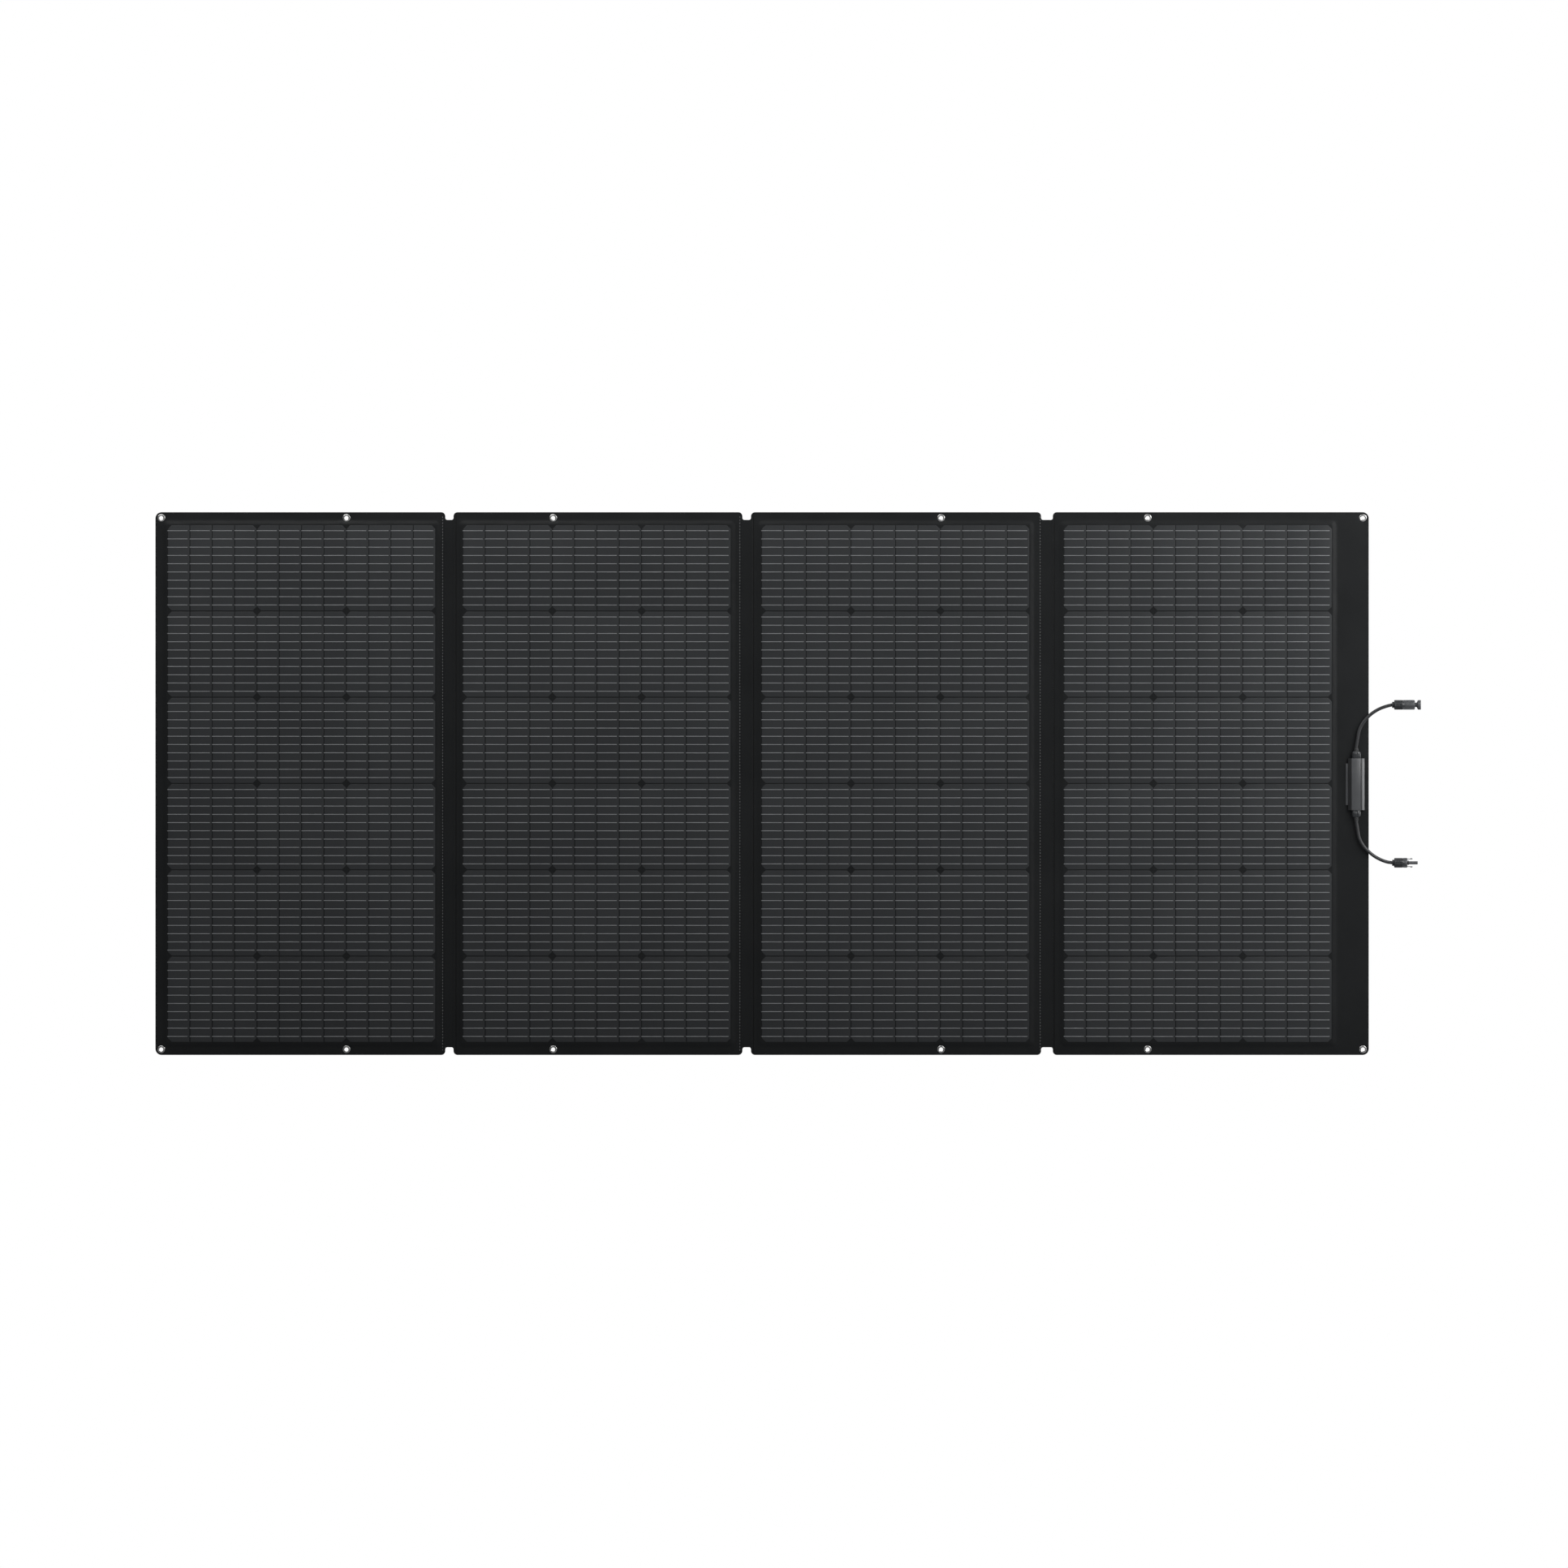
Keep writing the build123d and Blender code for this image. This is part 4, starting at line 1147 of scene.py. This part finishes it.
def catmull_rom(points, steps=10):
    """A smooth curve through the points."""
    points = [np.array(point, float) for point in points]
    points = [2 * points[0] - points[1]] + points + [2 * points[-1] - points[-2]]
    curve = []
    for before, start, end, after in zip(points, points[1:], points[2:], points[3:]):
        for k in range(steps):
            t = k / steps
            curve.append(0.5 * ((2 * start) + (-before + end) * t
                                + (2 * before - 5 * start + 4 * end - after) * t * t
                                + (-before + 3 * start - 3 * end + after) * t ** 3))
    return curve + [points[-2]]


def tube(name, path, radius, segments=24):
    rings = []
    y_axis = np.array([0.0, 1.0, 0.0])
    for i, point in enumerate(path):
        before, after = path[max(0, i - 1)], path[min(len(path) - 1, i + 1)]
        tangent = (after - before) / np.linalg.norm(after - before)
        normal = y_axis - tangent * (y_axis @ tangent)
        normal /= np.linalg.norm(normal)
        binormal = np.cross(tangent, normal)
        angles = [2 * math.pi * k / segments for k in range(segments)]
        rings.append([tuple(point + radius * (math.cos(angle) * normal
                                              + math.sin(angle) * binormal))
                      for angle in angles])
    return rings_mesh(name, rings)


def build_cable(name, sign):
    z_column = 2 if sign > 0 else 3
    path = catmull_rom([(row[0], row[1], row[z_column]) for row in CABLE_PATH])
    cable = dress(tube(f"{name}_cable_sheath", path, CABLE_R), mat_cable, sharp=60)
    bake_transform(cable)
    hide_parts(f"{name}_cable")


for name, sign in ENDS:
    build_cable(name, sign)

# ------------------------------------------------------------------- plugs
# Both plugs lie along X and point to +X.
# x and radius of the nut
NUT_STATIONS = [
    (1227.9, 4.6), (1228.1, 5.6), (1228.7, 6.1), (1230.6, 6.1), (1231.2, 5.6), (1231.5, 5.2),
    (1231.9, 7.6), (1232.3, 8.8), (1233.1, 9.4), (1234.4, 9.45), (1234.6, 9.45), (1236.0, 9.45),
    (1240.0, 9.45), (1245.0, 9.45), (1246.4, 9.45), (1246.6, 9.45), (1248.2, 9.4),
    (1248.8, 9.15), (1249.1, 8.8),
]
# x and radius of the two barrels
UPPER_BARREL = [
    (1249.15, 8.7), (1249.45, 9.2), (1250.0, 9.42), (1256.0, 9.45), (1262.0, 9.45),
    (1268.0, 9.45), (1270.8, 9.4), (1271.7, 9.0), (1272.2, 8.0), (1272.6, 6.0),
]
LOWER_BARREL = [
    (1249.15, 8.7), (1249.45, 9.2), (1250.0, 9.42), (1254.0, 9.45), (1256.6, 9.4),
    (1257.4, 9.0), (1257.8, 8.0), (1257.9, 5.0),
]
# radius and distance from HEAD_X of the upper plug's neck and socket head
HEAD_X = 1272.2
HEAD_PROFILE = [
    (3.4, -5.0), (4.2, -5.0), (4.25, 0.4), (4.4, 3.4), (5.2, 4.2), (7.4, 4.9), (9.0, 6.2),
    (9.4, 6.9), (9.45, 7.6), (9.45, 11.3), (9.3, 11.8), (8.9, 12.0), (4.6, 12.0), (4.2, 11.9),
    (3.95, 11.5), (3.92, 4.4), (3.4, 4.3),
]
# radius and distance from NOSE_X of the lower plug's nose tube
NOSE_X = 1257.9
NOSE_PROFILE = [
    (2.25, -1.0), (2.8, -1.0), (2.8, 2.9), (3.1, 3.0), (3.1, 18.6), (3.02, 19.4), (2.8, 20.05),
    (2.4, 20.1), (2.25, 19.9),
]
# x and distance from the plug's axis along z, round a hooked arm
ARM_OUTLINE = [
    (1255.0, 6.9), (1266.9, 6.7), (1268.0, 7.3), (1268.2, 8.0), (1265.6, 9.2), (1264.2, 9.2),
    (1263.4, 8.0), (1255.0, 8.1),
]
ARM_HALF_W = 2.4
SEAL_X, SEAL_MIDDLE = 1258.0, 1.35         # start of the seal, and its middle beyond that
SEAL_INNER_R, SEAL_HALF_T, SEAL_HALF_L = 2.84, 0.78, 1.25


def fluted(angle, x, r):
    """Ten grip flutes round the nut's barrel."""
    if 1234.5 < x < 1246.5:
        return r * (1 - 0.055 * (0.5 + 0.5 * math.cos(10 * angle)) ** 4)
    return r


def railed(angle, x, r):
    """A round barrel with two flat-sided rails, above and below."""
    core, rail_half_w = 0.74 * r, 4.6
    across, up = abs(math.cos(angle)), abs(math.sin(angle))
    if up <= 0.35:
        return core
    rail = r / up
    if rail * across >= rail_half_w:
        rail = rail_half_w / across
    return max(core, rail)


def turned_x(stations, axis_z, shape, segments=72):
    """A closed body along X; shape(angle, x, r) changes the radius."""
    angles = [2 * math.pi * k / segments for k in range(segments)]
    rings = []
    for x, r in stations:
        radii = [shape(angle, x, r) for angle in angles]
        rings.append([(x, PLUG_Y + radius * math.cos(angle), axis_z + radius * math.sin(angle))
                      for angle, radius in zip(angles, radii)])
    return rings_mesh("tmp", rings)


def tongue(axis_z):
    """The pointed catch that runs from the nut over the front of the plug's body."""
    start, half_w = 1246.0, 6.2
    rings = []
    for k in range(25):
        dz = -half_w + 2 * half_w * k / 24
        z = axis_z + dz
        tip = 1253.0 - 3.6 * (abs(dz) / half_w) ** 1.25
        outer = PLUG_Y - math.sqrt(9.0 ** 2 - dz * dz)
        inner = outer + 2.2
        rings.append([(start, outer, z), (tip - 0.35, outer, z), (tip, outer + 0.3, z),
                      (tip, inner, z), (start, inner, z)])
    return rings_mesh("tmp", rings)


def hooked_arm(axis_z, sign):
    first, last = [[(x, PLUG_Y + dy, axis_z + sign * dz) for x, dz in ARM_OUTLINE]
                   for dy in (-ARM_HALF_W, ARM_HALF_W)]
    return bevel_edges(prism("tmp", first, last), 0.22, 2)


def build_plug_nut(name):
    parts = [turned_x(NUT_STATIONS, PLUG_Z[name], fluted), tongue(PLUG_Z[name])]
    nut = dress(join(f"{name}_plug_cap", parts), mat_nut, sharp=45)
    mount(nut, f"{name}_lead", "plug_plastic", f"{name}_plug_nut")


def build_plug_shell(name, parts):
    shell = dress(join(f"{name}_plug_shell", parts), mat_plug, sharp=45)
    mount(shell, f"{name}_lead", "plug_plastic", f"{name}_plug_body")


def build_upper_shell():
    """Barrel with rails, neck, and head with an open socket."""
    axis_z = PLUG_Z["upper"]
    build_plug_shell("upper", [
        turned_x(UPPER_BARREL, axis_z, railed),
        lathe("tmp", HEAD_PROFILE, (HEAD_X, PLUG_Y, axis_z), "x", 64),
    ])


def build_lower_shell():
    """Short barrel with rails, nose tube, and two arms with hooks."""
    axis_z = PLUG_Z["lower"]
    build_plug_shell("lower", [
        turned_x(LOWER_BARREL, axis_z, railed),
        lathe("tmp", NOSE_PROFILE, (NOSE_X, PLUG_Y, axis_z), "x", 48),
        hooked_arm(axis_z, 1),
        hooked_arm(axis_z, -1),
    ])


def build_seal():
    angles = [2 * math.pi * k / 14 for k in range(14)]
    profile = [(SEAL_INNER_R + SEAL_HALF_T + SEAL_HALF_T * math.cos(angle),
                SEAL_MIDDLE + SEAL_HALF_L * math.sin(angle)) for angle in angles]
    seal = lathe("lower_plug_ring", profile, (SEAL_X, PLUG_Y, PLUG_Z["lower"]), "x", 48)
    mount(dress(seal, mat_rubber), "lower_lead", "black_rubber", "lower_plug_seal")


for name in PLUG_Z:
    build_plug_nut(name)
build_upper_shell()
build_lower_shell()
build_seal()

# ------------------------------------------------ CAD pieces kept as they are
KEPT_PIECES = {
    "cable_box_board": mat_pcb,
    "cable_box_diodes": mat_diode,
    "upper_plug_contact": mat_tin,
    "lower_plug_contact": mat_tin,
    **{f"panel_{k}_stiffener": mat_board for k in (1, 2, 3, 4)},
}
for name, material in KEPT_PIECES.items():
    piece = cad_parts[name]
    if not piece.material_slots:
        piece.data.materials.append(material)
    for slot in piece.material_slots:
        slot.link = "OBJECT"
        slot.material = material

# ------------------------------------------------------------------ studio
FLOOR_HALF, FLOOR_GAP = 30.0, 0.0005


def floor_material():
    """A floor that looks paler to the camera than to the light it bounces."""
    material, tree, shader = new_material("floor_pale")
    seen = node(tree, "ShaderNodeLightPath").outputs["Is Camera Ray"]
    feed(tree, shader, {
        "Base Color": mix_colour(tree, seen, (0.30, 0.30, 0.31), (0.22, 0.22, 0.22)),
        "Specular IOR Level": 0.0,
        "Emission Color": (1, 1, 1, 1),
        "Emission Strength": calculate(tree, "MULTIPLY", seen, 0.70),
        "Roughness": 0.9,
    })
    return material


def build_floor():
    """A level square just under the lowest CAD piece."""
    z = cad_box[0][2] - FLOOR_GAP
    corners = ((-1, -1), (1, -1), (1, 1), (-1, 1))
    mesh = bpy.data.meshes.new("floor")
    mesh.from_pydata([(x * FLOOR_HALF, y * FLOOR_HALF, z) for x, y in corners],
                     [], [(0, 1, 2, 3)])
    floor = link_object("floor", mesh)
    mesh.materials.append(floor_material())


def build_world():
    """White to the camera; for other rays, dim in front and brighter behind the sheet (+Y)."""
    world = bpy.data.worlds.new("studio")
    bpy.context.scene.world = world
    world.use_nodes = True
    tree = world.node_tree
    tree.nodes.clear()
    direction = node(tree, "ShaderNodeTexCoord").outputs["Generated"]
    towards_y = node(tree, "ShaderNodeSeparateXYZ", {0: direction}).outputs[1]
    glow = remap(tree, towards_y, (-0.05, 0.35), (0.08, 0.9))
    seen = node(tree, "ShaderNodeLightPath").outputs["Is Camera Ray"]
    background = node(tree, "ShaderNodeBackground",
                      {"Color": mix_float(tree, seen, glow, 1.0), "Strength": 1.0})
    node(tree, "ShaderNodeOutputWorld", {0: background.outputs[0]})


def area_light(name, place, target, width, height, power):
    light = bpy.data.lights.new(name, "AREA")
    light.shape = "RECTANGLE"
    light.size, light.size_y = width, height
    light.energy = power
    light.color = (1, 1, 1)
    ob = link_object(name, light)
    ob.location = place
    ob.rotation_euler = (Vector(target) - Vector(place)).to_track_quat("-Z", "Y").to_euler()


def build_camera():
    """A level orthographic camera in front of the sheet, looking along +Y."""
    lens = bpy.data.cameras.new("camera")
    lens.type = "ORTHO"
    lens.ortho_scale = 3.05630808
    lens.clip_end = 60.0
    camera = link_object("camera", lens)
    camera.location = (0.04271238, -6.0, -0.000791915)
    camera.rotation_euler = (math.radians(90), 0, 0)
    bpy.context.scene.camera = camera


build_floor()
build_world()
area_light("key", place=(2.4, -1.6, 1.2), target=(0.4, 0, 0.1), width=2.0, height=1.6, power=62.0)
area_light("top", place=(-1.2, -1.6, 2.0), target=(-0.6, 0, 0), width=3.0, height=1.2, power=44.0)
area_light("rim", place=(3.0, 0.9, 0.1), target=(1.17, 0, 0), width=1.6, height=1.6, power=26.0)
build_camera()

bpy.context.scene.view_settings.view_transform = "Standard"
bpy.context.scene.view_settings.look = "None"

bpy.context.view_layer.update()
